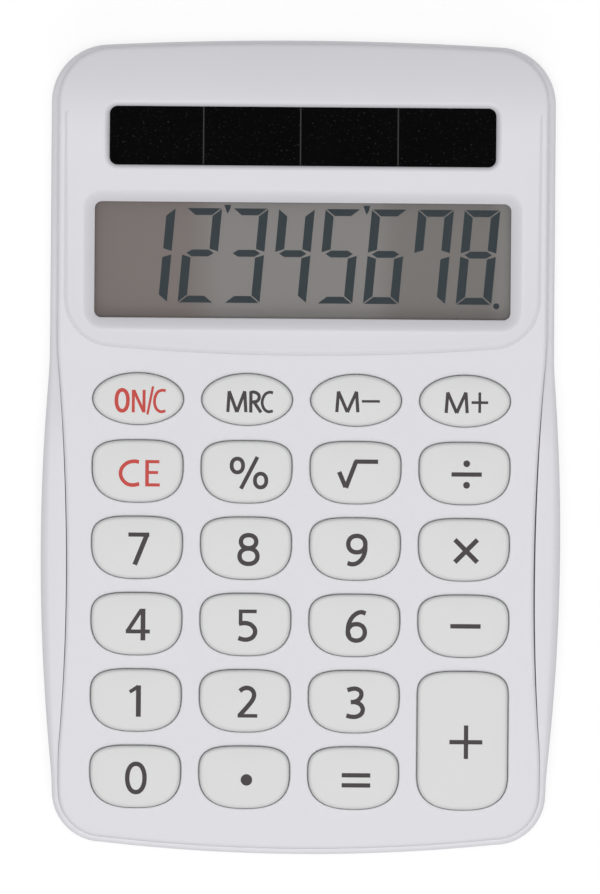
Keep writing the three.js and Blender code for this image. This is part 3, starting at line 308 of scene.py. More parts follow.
def rounded_rectangle(width, height, radius, step=1.0, corner_steps=8):
    """Straight sides cut into steps of about one length, with quarter circles at the corners."""
    x, y = width / 2 - radius, height / 2 - radius
    across = np.linspace(0, x, max(round(x / step), 1), endpoint=False)
    along = np.linspace(y, -y, max(round(2 * y / step), 1) + 1)[1:-1]
    return mirrored(np.concatenate([
        np.c_[across, np.full(len(across), height / 2)],
        corner_arc(x, y, radius, np.pi / 2, corner_steps),
        np.c_[np.full(len(along), width / 2), along],
        corner_arc(x, -y, radius, 0, corner_steps),
        np.c_[across[::-1], np.full(len(across), -height / 2)],
    ]))


def circle(x, y, radius, steps=48):
    """The middle plus radius times the cosine and sine of even angles."""
    angle = np.linspace(0, 2 * np.pi, steps, endpoint=False)
    return np.c_[x + radius * np.cos(angle), y + radius * np.sin(angle)]


def boss_circle(x, y, radius, clearance, steps=48):
    """A circle flattened where it would reach the rear cover's bowed end walls."""
    loop = circle(x, y, radius, steps)
    square = loop[:, 0] ** 2
    high = COVER_TOP - square / (2 * DISPLAY_END_ARC) - LEDGE_WIDTH - clearance
    low = COVER_BOTTOM + square / (2 * KEY_END_ARC) + LEDGE_WIDTH + clearance
    return np.c_[loop[:, 0], np.clip(loop[:, 1], low, high)]


def grown(outline, distance):
    """Moves each point of a smooth loop outwards along its normal."""
    along = np.roll(outline, -1, 0) - np.roll(outline, 1, 0)
    normal = np.c_[along[:, 1], -along[:, 0]] / np.linalg.norm(along, axis=1)[:, None]
    return outline + normal * distance


def evenly(outline, count):
    """The same closed loop with its points an equal way apart."""
    closed = np.concatenate([outline, outline[:1]])
    length = np.r_[0, np.cumsum(np.linalg.norm(np.diff(closed, axis=0), axis=1))]
    at = np.linspace(0, length[-1], count, endpoint=False)
    return np.c_[np.interp(at, length, closed[:, 0]), np.interp(at, length, closed[:, 1])]


def key_outline(height, shoulder, stretch, upper, lower):
    """Superellipse |x/a|^p + |y/b|^p = 1 with its own height and power above and below its
    widest line, and a straight stretch between its halves on a tall key."""
    angle = np.linspace(0, 2 * np.pi, KEY_FINE_POINTS + 1)[:-1]
    above = np.sin(angle) >= 0
    power = 2 / np.where(above, upper, lower)
    x = KEY_WIDTH / 2 * np.sign(np.cos(angle)) * np.abs(np.cos(angle)) ** power
    reach = np.abs(np.sin(angle)) ** power
    up = shoulder + (height / 2 - shoulder) * reach + stretch / 2
    down = shoulder - (height / 2 + shoulder) * reach - stretch / 2
    return evenly(np.c_[x, np.where(above, up, down)], KEY_POINTS)


NORMAL_OUTLINE = key_outline(KEY_HEIGHT, KEY_SHOULDER, 0, UPPER_POWER, LOWER_POWER)
TALL_OUTLINE = key_outline(KEY_HEIGHT, KEY_SHOULDER, TALL_KEY_STRETCH, UPPER_POWER, LOWER_POWER)
OVAL_OUTLINE = key_outline(OVAL_KEY_HEIGHT, 0, 0, OVAL_POWER, OVAL_POWER)


def outline_of(key):
    """A key's outline round its middle, a little fuller than the superellipse it starts from."""
    tall_or_normal = TALL_OUTLINE if key == "key_plus" else NORMAL_OUTLINE
    return grown(OVAL_OUTLINE if key in OVAL_KEYS else tall_or_normal, KEY_FILL)


def hole_of(key, gap):
    """A key's outline grown by a gap that narrows to a share of itself above and below."""
    outline = outline_of(key)
    direction = grown(outline, 1.0)[:, 1:] - outline[:, 1:]
    share = np.where(direction > 0, HOLE_GAP_ABOVE, HOLE_GAP_BELOW)
    return grown(outline, gap * (1 + (share - 1) * direction**2))


# Meshes


class Shell:
    """Gathers the points and faces of one piece, in millimetres."""

    def __init__(self):
        self.points, self.faces, self.count = [], [], 0

    def add(self, points, faces):
        self.points.append(points)
        self.faces.extend((np.asarray(faces) + self.count).tolist())
        self.count += len(points)

    def loft(self, rings):
        """Quads between closed rings of equal length; rings that rise round a body, or that
        run inwards over its top, face outwards."""
        rings = np.asarray(rings, float)
        levels, around = rings.shape[:2]
        index = np.arange(levels * around).reshape(levels, around)
        after = np.roll(index, -1, axis=1)
        quads = np.stack([index[:-1], after[:-1], after[1:], index[1:]], axis=-1)
        self.add(rings.reshape(-1, 3), quads.reshape(-1, 4))

    def stack(self, *levels):
        """Lofts through outlines, each given with its height."""
        self.loft([at_height(outline, height) for outline, height in levels])

    def turn(self, profile, x, y, steps=32):
        """A profile of [radius, height] points, from the axis up the outside to the axis."""
        self.stack(*((circle(x, y, radius, steps), z) for radius, z in profile))

    def sheet(self, outline, holes, height, lines=(), points=None, up=True):
        """Fills an outline round its holes with triangles whose height is a function of x, y."""
        flat, triangles = filled(outline, holes, lines, points)
        z = height(flat[:, 0], flat[:, 1]) if callable(height) else np.full(len(flat), height)
        self.add(np.c_[flat, z], triangles if up else triangles[:, ::-1])

    def prism(self, flat, triangles, low, high):
        """Closes flat triangles into a body between two heights."""
        count = len(flat)
        sides = triangles[:, [0, 1, 1, 2, 2, 0]].reshape(-1, 2)
        code = sides[:, 0] * count + sides[:, 1]
        rim = sides[~np.isin(code, sides[:, 1] * count + sides[:, 0])]
        points = np.concatenate([at_height(flat, high), at_height(flat, low)])
        self.add(points, triangles)
        self.faces.extend((triangles[:, ::-1] + self.count - count).tolist())
        walls = np.c_[rim[:, 0] + count, rim[:, 1] + count, rim[:, 1], rim[:, 0]]
        self.faces.extend((walls + self.count - 2 * count).tolist())


def at_height(outline, height):
    """Lifts an outline to a height, which is a number, an array or a function of y."""
    z = height(outline[:, 1]) if callable(height) else height
    return np.c_[outline, np.broadcast_to(z, len(outline))]


def inside(points, loop):
    """Which points lie in a closed loop, by counting the edges to their right."""
    x, y = points[:, :1], points[:, 1:]
    x1, y1 = loop.T
    x2, y2 = np.roll(loop, -1, 0).T
    crosses = (y1 > y) != (y2 > y)
    with np.errstate(divide="ignore", invalid="ignore"):
        at = x1 + (y - y1) / (y2 - y1) * (x2 - x1)
    return (crosses & (x < at)).sum(1) % 2 == 1


def filled(outline, holes, lines=(), points=None):
    """Delaunay triangles of the space between an outline and its holes, with every line kept."""
    loops = [outline, *holes]
    coords = np.concatenate([*loops, *lines, np.zeros((0, 2)) if points is None else points])
    edges, start = [], 0
    for loop in loops:
        index = np.arange(start, start + len(loop))
        edges.append(np.c_[index, np.roll(index, -1)])
        start += len(loop)
    for line in lines:
        closed = np.allclose(line[0], line[-1])
        index = np.arange(start, start + len(line) - closed)
        edges.append(np.c_[index, np.roll(index, -1)] if closed else np.c_[index[:-1], index[1:]])
        start += len(line)
    edges = np.concatenate(edges).tolist()
    found = delaunay_2d_cdt(coords.tolist(), edges, [], 0, SAME_POINT, False)
    flat = np.array([tuple(point) for point in found[0]])
    triangles = np.array([tuple(face) for face in found[2]])
    centres = flat[triangles].mean(1)
    keep = inside(centres, outline)
    for hole in holes:
        near = (np.abs(centres - hole.mean(0)) < np.ptp(hole, axis=0)).all(1) & keep
        keep[near] &= ~inside(centres[near], hole)
    return flat, upward(flat, triangles[keep])


def upward(flat, triangles):
    """Turns each flat triangle anticlockwise."""
    a, b, c = (flat[triangles[:, i]] for i in range(3))
    area = np.cross(b - a, c - a)
    return np.where(area[:, None] < 0, triangles[:, ::-1], triangles)


def merged(polygons):
    """Triangles of the area that any of the polygons covers."""
    coords = np.concatenate(polygons)
    ends = np.cumsum([len(polygon) for polygon in polygons])
    faces = [list(range(end - len(polygon), end)) for polygon, end in zip(polygons, ends)]
    found = delaunay_2d_cdt(coords.tolist(), [], faces, 1, SAME_POINT, True)
    flat = np.array([tuple(point) for point in found[0]])
    kept = [tuple(face) for face, sources in zip(found[2], found[5]) if sources]
    return flat, upward(flat, np.array(kept))


def make_piece(name, shell, finish, body="case", nodes=()):
    """Welds a shell into one mesh object that rides on a body and stands for its CAD nodes."""
    mesh = bpy.data.meshes.new(name)
    mesh.from_pydata((np.concatenate(shell.points) * MM).tolist(), [], shell.faces)
    welded = bmesh.new()
    welded.from_mesh(mesh)
    bmesh.ops.remove_doubles(welded, verts=welded.verts, dist=WELD * MM)
    bmesh.ops.dissolve_degenerate(welded, edges=welded.edges, dist=WELD * MM / 2)
    welded.to_mesh(mesh)
    welded.free()
    mesh.shade_smooth()
    mesh.set_sharp_from_angle(angle=SHARP_ANGLE)
    mesh.materials.append(material_named(finish))
    piece = bpy.data.objects.new(name, mesh)
    bpy.context.scene.collection.objects.link(piece)
    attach(piece, body)
    if nodes:
        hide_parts(*nodes)
    return piece


def quarter(radius, steps):
    """[inset, drop] points of a quarter round, from the flat above it to the wall below it."""
    angle = np.linspace(0, np.pi / 2, steps + 1)
    return np.c_[radius * (1 - np.sin(angle)), radius * (1 - np.cos(angle))]


def to_display(points):
    """Turns points about x by the hood's tilt, then moves them from the display's frame, whose
    zero is the hood's surface, to the object's."""
    cosine, sine = math.cos(HOOD_TILT), math.sin(HOOD_TILT)
    x, y, z = np.asarray(points).T
    return np.c_[x, WINDOW_Y + cosine * y - sine * z, hood_height(WINDOW_Y) + sine * y + cosine * z]


# Materials

# Places of the colour sockets in a mix node
COLOR_A, COLOR_B, COLOR_OUT = 6, 7, 2


def node(tree, kind, inputs=(), **settings):
    """A shader node with its settings and its input values or links."""
    made = tree.nodes.new(kind)
    for name, value in settings.items():
        setattr(made, name, value)
    return feed(tree, made, inputs)


def feed(tree, made, inputs):
    """Gives the inputs of a node their values or links."""
    for socket, value in dict(inputs).items():
        if isinstance(value, bpy.types.NodeSocket):
            tree.links.new(value, made.inputs[socket])
        else:
            made.inputs[socket].default_value = value
    return made


def object_place(tree):
    return node(tree, "ShaderNodeTexCoord").outputs["Object"]


def linear(color):
    """A colour written as three bytes, as linear numbers."""
    share = np.array(color, float) / 255
    return (*np.where(share <= 0.04045, share / 12.92, ((share + 0.055) / 1.055) ** 2.4), 1.0)


def new_material(name):
    material = bpy.data.materials.new(name)
    material.use_nodes = True
    tree = material.node_tree
    return material, tree, tree.nodes["Principled BSDF"]


def spread(tree, factor, low, high):
    """A factor from 0 to 1 moved between two values."""
    inputs = {"Value": factor, "To Min": low, "To Max": high}
    return node(tree, "ShaderNodeMapRange", inputs).outputs[0]


def noise(tree, place, size_mm, detail=2.0, roughness=0.5):
    scale = 1 / (size_mm * MM)
    inputs = {"Vector": place, "Scale": scale, "Detail": detail, "Roughness": roughness}
    return node(tree, "ShaderNodeTexNoise", inputs).outputs["Fac"]


def blend(tree, factor, low, high):
    """One colour turning into another as a factor goes from 0 to 1."""
    inputs = {"Factor": factor, COLOR_A: low, COLOR_B: high}
    return node(tree, "ShaderNodeMix", inputs, data_type="RGBA").outputs[COLOR_OUT]


def tinted(tree, factor, color, shade):
    """A colour that drifts by a small share towards a darker one."""
    return blend(tree, factor, (*(np.array(color[:3]) * shade), 1.0), color)


def relief(tree, height, strength, depth_mm):
    inputs = {"Height": height, "Strength": strength, "Distance": depth_mm * MM}
    return node(tree, "ShaderNodeBump", inputs).outputs[0]


def moulded(name, color, rough, grain_mm, relief_mm, shade, gloss):
    """Moulded plastic or rubber: a fine spark-eroded grain, a slow drift of tone and gloss."""
    material, tree, shader = new_material(name)
    place = object_place(tree)
    grain = noise(tree, place, grain_mm, 3.0, 0.6)
    drift = noise(tree, place, 18.0, 3.0)
    mottle = noise(tree, place, grain_mm * 3)
    feed(tree, shader, {
        "Normal": relief(tree, grain, 0.6, relief_mm),
        "Base Color": tinted(tree, drift, color, shade),
        "Roughness": spread(tree, mottle, *rough),
        "Specular IOR Level": gloss,
    })
    return material


def clear(name, color, alpha):
    """Clear sheet: mostly see-through, with faint smears in its gloss."""
    material, tree, shader = new_material(name)
    smear = noise(tree, object_place(tree), 9.0, 4.0, 0.6)
    feed(tree, shader, {
        "Roughness": spread(tree, smear, 0.06, 0.12),
        "Base Color": tinted(tree, smear, linear(color), 0.96),
        "Alpha": alpha,
        "Specular IOR Level": 0.02,
    })
    return material


# Display film tones along its length, a painted reflection in the middle: [share of the length,
# red, green, blue factor]
FILM_PAINTED_REFLECTION_TONES = (
    (0.0, 0.9, 0.82, 0.81), (0.21, 0.91, 0.83, 0.82), (0.32, 1.1, 1.12, 1.14),
    (0.65, 1.1, 1.12, 1.14), (0.74, 0.87, 0.87, 0.87), (0.94, 0.86, 0.86, 0.86),
    (0.98, 1.06, 1.08, 1.08), (1.0, 1.06, 1.08, 1.08),
)


def film_with_painted_reflection():
    """Display film: warm and darker to the left, lighter in the middle where a reflection is
    painted, darker to the right, then lighter again at its right edge.
    """
    material, tree, shader = new_material("polariser_film")
    place = object_place(tree)
    along = node(tree, "ShaderNodeSeparateXYZ", {"Vector": place}).outputs["X"]
    half = WINDOW_WIDTH / 2 * MM
    share = node(tree, "ShaderNodeMapRange", {"Value": along, "From Min": -half, "From Max": half})
    weave = noise(tree, place, 0.25, 3.0, 0.6)
    # The ramp paints the reflection as a lighter band across the middle of the film
    tone = node(tree, "ShaderNodeValToRGB", {"Fac": share.outputs[0]})
    tone.color_ramp.interpolation = "EASE"
    for place_on_film, *factors in FILM_PAINTED_REFLECTION_TONES[1:-1]:
        tone.color_ramp.elements.new(place_on_film)
    for stop, (place_on_film, *factors) in zip(tone.color_ramp.elements, FILM_PAINTED_REFLECTION_TONES):
        stop.position = place_on_film
        stop.color = (*(np.array(user_color("polariser_film")[:3]) * factors), 1)
    feed(tree, shader, {
        "Base Color": tone.outputs["Color"],
        "Roughness": spread(tree, weave, 0.35, 0.5),
        "Specular IOR Level": 0.05,
    })
    return material


def flecked_glass():
    """Dark glass over the solar cell: near black, with sparse faint flecks and smears."""
    material, tree, shader = new_material("solar_glass")
    place = object_place(tree)
    flecks = node(tree, "ShaderNodeMapRange", {
        "Value": noise(tree, place, 0.35, 2.0, 0.7), "From Min": 0.62, "From Max": 0.82,
    }).outputs[0]
    smears = noise(tree, place, 6.0, 4.0, 0.6)
    feed(tree, shader, {
        "Base Color": blend(tree, flecks, linear((3, 3, 4)), linear((58, 56, 58))),
        "Roughness": spread(tree, smears, 0.12, 0.3),
        "Specular IOR Level": 0.003,
    })
    return material


def turned_steel():
    """Steel with fine marks that show as noise in its gloss and relief."""
    material, tree, shader = new_material("screw_steel")
    marks = noise(tree, object_place(tree), 0.15, 4.0, 0.7)
    feed(tree, shader, {
        "Normal": relief(tree, marks, 0.4, 0.004),
        "Roughness": spread(tree, marks, 0.25, 0.45),
        "Base Color": tinted(tree, marks, linear((190, 192, 196)), 0.85),
        "Metallic": 1.0,
    })
    return material


# Moulded finishes: colour in bytes, or none where the user sets it, then the lowest and highest
# roughness, the size and height of the grain in mm, the darker shade and the gloss
MOULDED = {
    "cover_plastic": (None, (0.4, 0.5), 0.12, 0.004, 0.975, 0.5),
    "shell_plastic": (None, (0.4, 0.5), 0.12, 0.004, 0.975, 0.5),
    "key_plastic": (None, (0.36, 0.46), 0.1, 0.003, 0.975, 0.5),
    "dark_ink": (None, (0.5, 0.65), 0.06, 0.002, 0.9, 0.2),
    "red_ink": (None, (0.5, 0.65), 0.06, 0.002, 0.93, 0.2),
    "display_digit": (None, (0.5, 0.6), 0.3, 0.0005, 0.85, 0.05),
    "cell_scribe_line": ((47, 46, 47), (0.4, 0.5), 0.1, 0.0005, 0.8, 0.1),
    "reflector_film": ((150, 148, 144), (0.4, 0.5), 0.08, 0.002, 0.9, 0.5),
    "ribbon_film": ((176, 131, 74), (0.35, 0.5), 0.2, 0.002, 0.85, 0.5),
    "red_sleeve": ((168, 32, 28), (0.4, 0.5), 0.1, 0.002, 0.9, 0.5),
    "black_sleeve": ((24, 24, 24), (0.4, 0.5), 0.1, 0.002, 0.8, 0.5),
    "board_laminate": ((63, 107, 70), (0.4, 0.55), 0.3, 0.004, 0.8, 0.5),
    "black_resin": ((18, 18, 18), (0.2, 0.35), 1.2, 0.02, 0.7, 0.5),
    "capacitor_sleeve": ((29, 42, 74), (0.25, 0.4), 0.2, 0.003, 0.8, 0.5),
    "diode_glass": ((180, 88, 44), (0.15, 0.25), 0.5, 0.0005, 0.85, 0.5),
    "silicone_rubber": ((196, 199, 196), (0.55, 0.7), 0.2, 0.004, 0.95, 0.5),
    "foot_rubber": ((44, 44, 46), (0.7, 0.85), 0.18, 0.012, 0.8, 0.5),
}
OTHER_FINISHES = {
    "solar_glass": flecked_glass,
    "polariser_film": film_with_painted_reflection,
    "window_pane": lambda: clear("window_pane", (240, 243, 243), 0.015),
    "display_glass": lambda: clear("display_glass", (200, 212, 206), 0.35),
    "screw_steel": turned_steel,
}
MATERIALS = {}


def user_color(name):
    return (*getattr(bpy.context.scene.calculator_colors, name), 1.0)


def material_named(name):
    """Each finish is made once, from the colours that the user has set."""
    if name not in MATERIALS and name in MOULDED:
        color, *grain = MOULDED[name]
        MATERIALS[name] = moulded(name, linear(color) if color else user_color(name), *grain)
    elif name not in MATERIALS:
        MATERIALS[name] = OTHER_FINISHES[name]()
    return MATERIALS[name]


def repaint(finishes):
    """Gives CAD nodes whose shape stays their own procedural finish."""
    for cad_node, name in finishes.items():
        for slot in frame["nodes"][cad_node].material_slots:
            slot.material = material_named(name)


# Sizes and colours that a user would change


def size(name, description, default_mm):
    return bpy.props.FloatProperty(
        name=name, description=description, default=default_mm * MM, min=0, precision=5,
        unit="LENGTH", subtype="DISTANCE",
    )


def color(name, description, rgb):
    return bpy.props.FloatVectorProperty(
        name=name, description=description, default=linear(rgb)[:3], size=3, min=0, max=1,
        subtype="COLOR",
    )


class CalculatorSizes(bpy.types.PropertyGroup):
    hood_edge_width: size("Hood edge width", "Width of the crisp step round the hood", 0.32)
    hood_edge_share: bpy.props.FloatProperty(
        name="Hood edge share", description="Share of the hood's step that its crisp edge takes",
        default=0.3, min=0, max=1,
    )
    hood_groove: size("Hood groove", "Depth of the fine groove at the foot of that step", 0.1)
    hole_gap: size("Key gap", "Gap between a key and its hole, to its left and right", 0.145)
    left_grip_seam: size("Left grip seam", "Gap between the covers along the left grip", 0.11)
    right_grip_seam: size("Right grip seam", "Gap between the covers along the right grip", 0.19)
    end_seam: size("End seam", "Gap between the covers at both ends", 0.04)
    cover_edge_round: size("Cover edge round", "Radius along the cover's outer edge", 0.42)
    hole_edge_round: size("Key hole round", "Radius round each key hole", 0.16)
    key_edge_round: size("Key edge round", "Radius along a key's top edge", 0.4)
    ink_height: size("Ink height", "How far the printed legends stand above the keys", 0.012)
    window_roll: size("Window roll", "Width of the rolled border of the display window", 1.6)
    window_roll_depth: size("Window roll depth", "Depth of that border", 1.0)
    solar_roll: size("Solar roll", "Width of the rolled border of the solar window", 0.75)
    solar_roll_depth: size("Solar roll depth", "Depth of that border", 0.8)


class CalculatorColors(bpy.types.PropertyGroup):
    cover_plastic: color("Cover", "Colour of the front cover", (224, 223, 228))
    shell_plastic: color("Shell", "Colour of the rear cover", (223, 222, 227))
    key_plastic: color("Keys", "Colour of the keys", (216, 217, 216))
    dark_ink: color("Ink", "Colour of the dark legends", (71, 65, 67))
    red_ink: color("Red ink", "Colour of the clearing keys' legends", (207, 79, 73))
    display_digit: color("Digits", "Colour of the lit display segments", (40, 51, 57))
    polariser_film: color("Display", "Colour of the unlit display", (129, 125, 122))


# Front cover

# Lines along the hood's step, as shares of its width, lines round the rims of openings, and rows
# of points: close along the hood's low edge, wider where it rolls down
HOOD_LINES = (
    -1.1, -0.8, -0.6, -0.45, -0.3, -0.15, 0.0, 0.15, 0.32, 0.5, 0.7, 1.0, 1.6, 2.5, 3.5, 4.5,
)
EDGE_SUPPORT, KEY_SUPPORT, WINDOW_SUPPORT = 0.25, 0.2, 0.3
ROWS = np.concatenate([
    np.arange(HOOD_LOW - 1.8, HOOD_LOW + 1.9, 0.3), np.arange(HOOD_TOP - 5.4, COVER_TOP, 0.6)
])
FACE_STEP, FACE_CLEARANCE, CEILING_STEP, CEILING_CLEARANCE = 1.6, 0.3, 3.2, 0.5
# Where the display opening's tilted wall ends, over the underside of the cover's skin
OPENING_STOP = 0.05


def hood_line(inset):
    """Open line at one inset from the hood's outline: a straight side, a quarter circle, the low
    edge y = x^2 / 2R, and their mirror image."""
    angle = np.linspace(0, np.pi / 2, HOOD_CORNER_STEPS + 1)
    corner_side = HOOD_CORNER - (HOOD_CORNER - inset) * np.cos(angle)
    corner_low = HOOD_CORNER - (HOOD_CORNER - inset) * np.sin(angle)
    corner_x = HOOD_HALF - corner_side
    corner_y = HOOD_LOW + corner_x**2 / (2 * HOOD_LOW_EDGE_ARC) + corner_low
    side_y = np.linspace(HOOD_TOP, corner_y[0], HOOD_SIDE_STEPS + 1)[:-1]
    low_x = np.linspace(corner_x[-1], 0, HOOD_LOW_STEPS + 1)[1:]
    half = np.concatenate([
        np.c_[np.full(len(side_y), HOOD_HALF - inset), side_y],
        np.c_[corner_x, corner_y],
        np.c_[low_x, HOOD_LOW + low_x**2 / (2 * HOOD_LOW_EDGE_ARC) + inset],
    ])
    return np.concatenate([half, half[:-1][::-1] * [-1, 1]])


def spaced_rows(step, clearance, loops):
    """Points on the rows across the cover, less those that lie close to a loop or line."""
    x = np.arange(-COVER_HALF, COVER_HALF + step / 2, step)
    points = np.stack(np.meshgrid(x, ROWS), -1).reshape(-1, 2)
    others = np.concatenate(loops)
    gap = np.hypot(points[:, :1] - others[:, 0], points[:, 1:] - others[:, 1]).min(1)
    return points[gap > clearance]


# Each opening gives its rim in the face, a line close round the rim, and its hole below


def cut_key_hole(shell, key):
    """A key hole, down from its quarter-round rim to the underside."""
    rounding = mm("hole_edge_round")
    hole = hole_of(key, mm("hole_gap")) + middle_of(key)[:2]
    edge = quarter(rounding, HOLE_EDGE_STEPS)
    rings = [(grown(hole, inset), FACE - drop) for inset, drop in edge]
    shell.stack(*rings, (hole, COVER_UNDERSIDE))
    return grown(hole, rounding), grown(hole, rounding + KEY_SUPPORT), hole


def window_loop(extra):
    """The display opening in the tilted frame, grown by some way."""
    return rounded_rectangle(
        WINDOW_WIDTH + 2 * extra, WINDOW_HEIGHT + 2 * extra, WINDOW_CORNER + extra
    )


def cut_display_window(shell):
    """A border that starts on the face and rolls down to a crisp opening in the tilted frame:
    depth times a power of the share of its width."""
    roll, depth = mm("window_roll"), mm("window_roll_depth")
    rings = []
    for share in np.linspace(0, 1, WINDOW_ROLL_STEPS + 1):
        loop = at_height(window_loop(roll * (1 - share)), -depth * share**WINDOW_ROLL_POWER)
        ring = to_display(loop)
        ring[:, 2] += (face_height(ring) - hood_height(ring[:, 1])) * (1 - rise(share))
        rings.append(ring)
    rings.append(to_display(at_height(window_loop(0), -SKIN + OPENING_STOP)))
    opening = rings[-1][:, :2]
    shell.loft([*rings, at_height(opening, ceiling_height)])
    support = to_display(at_height(window_loop(roll + WINDOW_SUPPORT), 0.0))[:, :2]
    return rings[0][:, :2], support, opening


def solar_loop(extra):
    """The solar opening, grown by some way."""
    return SOLAR_MIDDLE + rounded_rectangle(
        SOLAR_WIDTH + 2 * extra, SOLAR_HEIGHT + 2 * extra, SOLAR_CORNER + extra, step=0.8
    )


def cut_solar_window(shell):
    """A narrower border that rolls from the face down to a level opening, again by a power of
    the share of its width, with the cell's pocket below."""
    roll, depth = mm("solar_roll"), mm("solar_roll_depth")
    shares, level, rings = np.linspace(0, 1, SOLAR_ROLL_STEPS + 1), hood_height(SOLAR_Y), []
    for share, drop in zip(shares, depth * shares**SOLAR_ROLL_POWER):
        ring = solar_loop(roll * (1 - share))
        high = face_height(ring)
        rings.append((ring, high + (level - high) * rise(share) - drop))
    plate = 2 * (box_of("solar_cell")[1] - middle_of("solar_cell"))[:2] + 2 * SOLAR_POCKET_GAP
    pocket = rounded_rectangle(*plate, SOLAR_POCKET_CORNER, corner_steps=4) + [0, SOLAR_Y]
    shell.stack(*rings, (solar_loop(0), SOLAR_POCKET_TOP))
    shell.sheet(pocket, [solar_loop(0)], SOLAR_POCKET_TOP, up=False)
    shell.stack((pocket, SOLAR_POCKET_TOP), (pocket, ceiling_height))
    return solar_loop(roll), solar_loop(roll + WINDOW_SUPPORT), pocket


def add_boss(shell, x, y, foot):
    """A screw boss from its foot up into the cover's skin, with its blind bore."""
    top = float(ceiling_height(y)) + COVER_WALL / 2
    bore = [
        (0, foot + SCREW_BITE), (SCREW_HOLE_RADIUS, foot + SCREW_BITE),
        (SCREW_HOLE_RADIUS, foot + BORE_CHAMFER), (SCREW_HOLE_RADIUS + BORE_CHAMFER, foot),
    ]
    boss = [
        (BOSS_RADIUS - BOSS_CHAMFER, foot), (BOSS_RADIUS, foot + BOSS_CHAMFER),
        (BOSS_RADIUS, top), (0, top),
    ]
    shell.stack(*(
        (boss_circle(x, y, radius, clearance, 32), z)
        for profile, clearance in ((bore, BORE_CLEARANCE), (boss, BOSS_CLEARANCE))
        for radius, z in profile
    ))


def build_front_cover():
    """One shell: the face with its hood, rolled windows and key holes, the outer wall, and the
    hollow underneath with its pocket and screw bosses."""
    edge = mm("cover_edge_round")
    outline = case_outline(COVER_TOP, COVER_BOTTOM, COVER_CORNERS, cover_side)
    shell = Shell()

    # Outer wall and its round edge, up from the ledge
    wall = [(outline, LEDGE)]
    for inset, drop in quarter(edge, COVER_EDGE_STEPS)[::-1]:
        ring = grown(outline, -inset)
        wall.append((ring, face_height(ring) - drop))
    shell.stack(*wall)

    # Openings
    cuts = [cut_key_hole(shell, key) for key in KEYS]
    cuts += [cut_display_window(shell), cut_solar_window(shell)]
    rims, supports, holes = zip(*cuts)

    # Face between the rims, with lines along the hood's step and rows across its curves
    top = grown(outline, -edge)
    supports = [grown(outline, -edge - EDGE_SUPPORT), *supports]
    closed = [np.concatenate([loop, loop[:1]]) for loop in supports]
    steps = [hood_line(mm("hood_edge_width") * share) for share in HOOD_LINES]
    points = spaced_rows(FACE_STEP, FACE_CLEARANCE, [*rims, *supports, *steps, top])
    shell.sheet(top, rims, top_height, [*closed, *steps], points)

    # Hollow underneath
    inner = grown(outline, -COVER_WALL)
    shell.stack((inner, ceiling_height), (inner, LEDGE), (outline, LEDGE))
    points = spaced_rows(CEILING_STEP, CEILING_CLEARANCE, [inner, *holes])
    shell.sheet(inner, holes, lambda x, y: ceiling_height(y), (), points, up=False)
    for places, foot in ((CASE_SCREWS, BOSS_FOOT), (BOARD_SCREWS, BOARD_TOP)):
        for x, y in places:
            add_boss(shell, x, y, foot)
    make_piece(
        "calculator_front_cover", shell, "cover_plastic", nodes=["front_cover"],
    )


class CALCULATOR_OT_front_cover(bpy.types.Operator):
    """Makes the front cover: keypad face, display hood, windows and key holes"""

    bl_idname = "calculator.front_cover"
    bl_label = "Front cover"

    def execute(self, context):
        build_front_cover()
        return {"FINISHED"}


# Rear cover


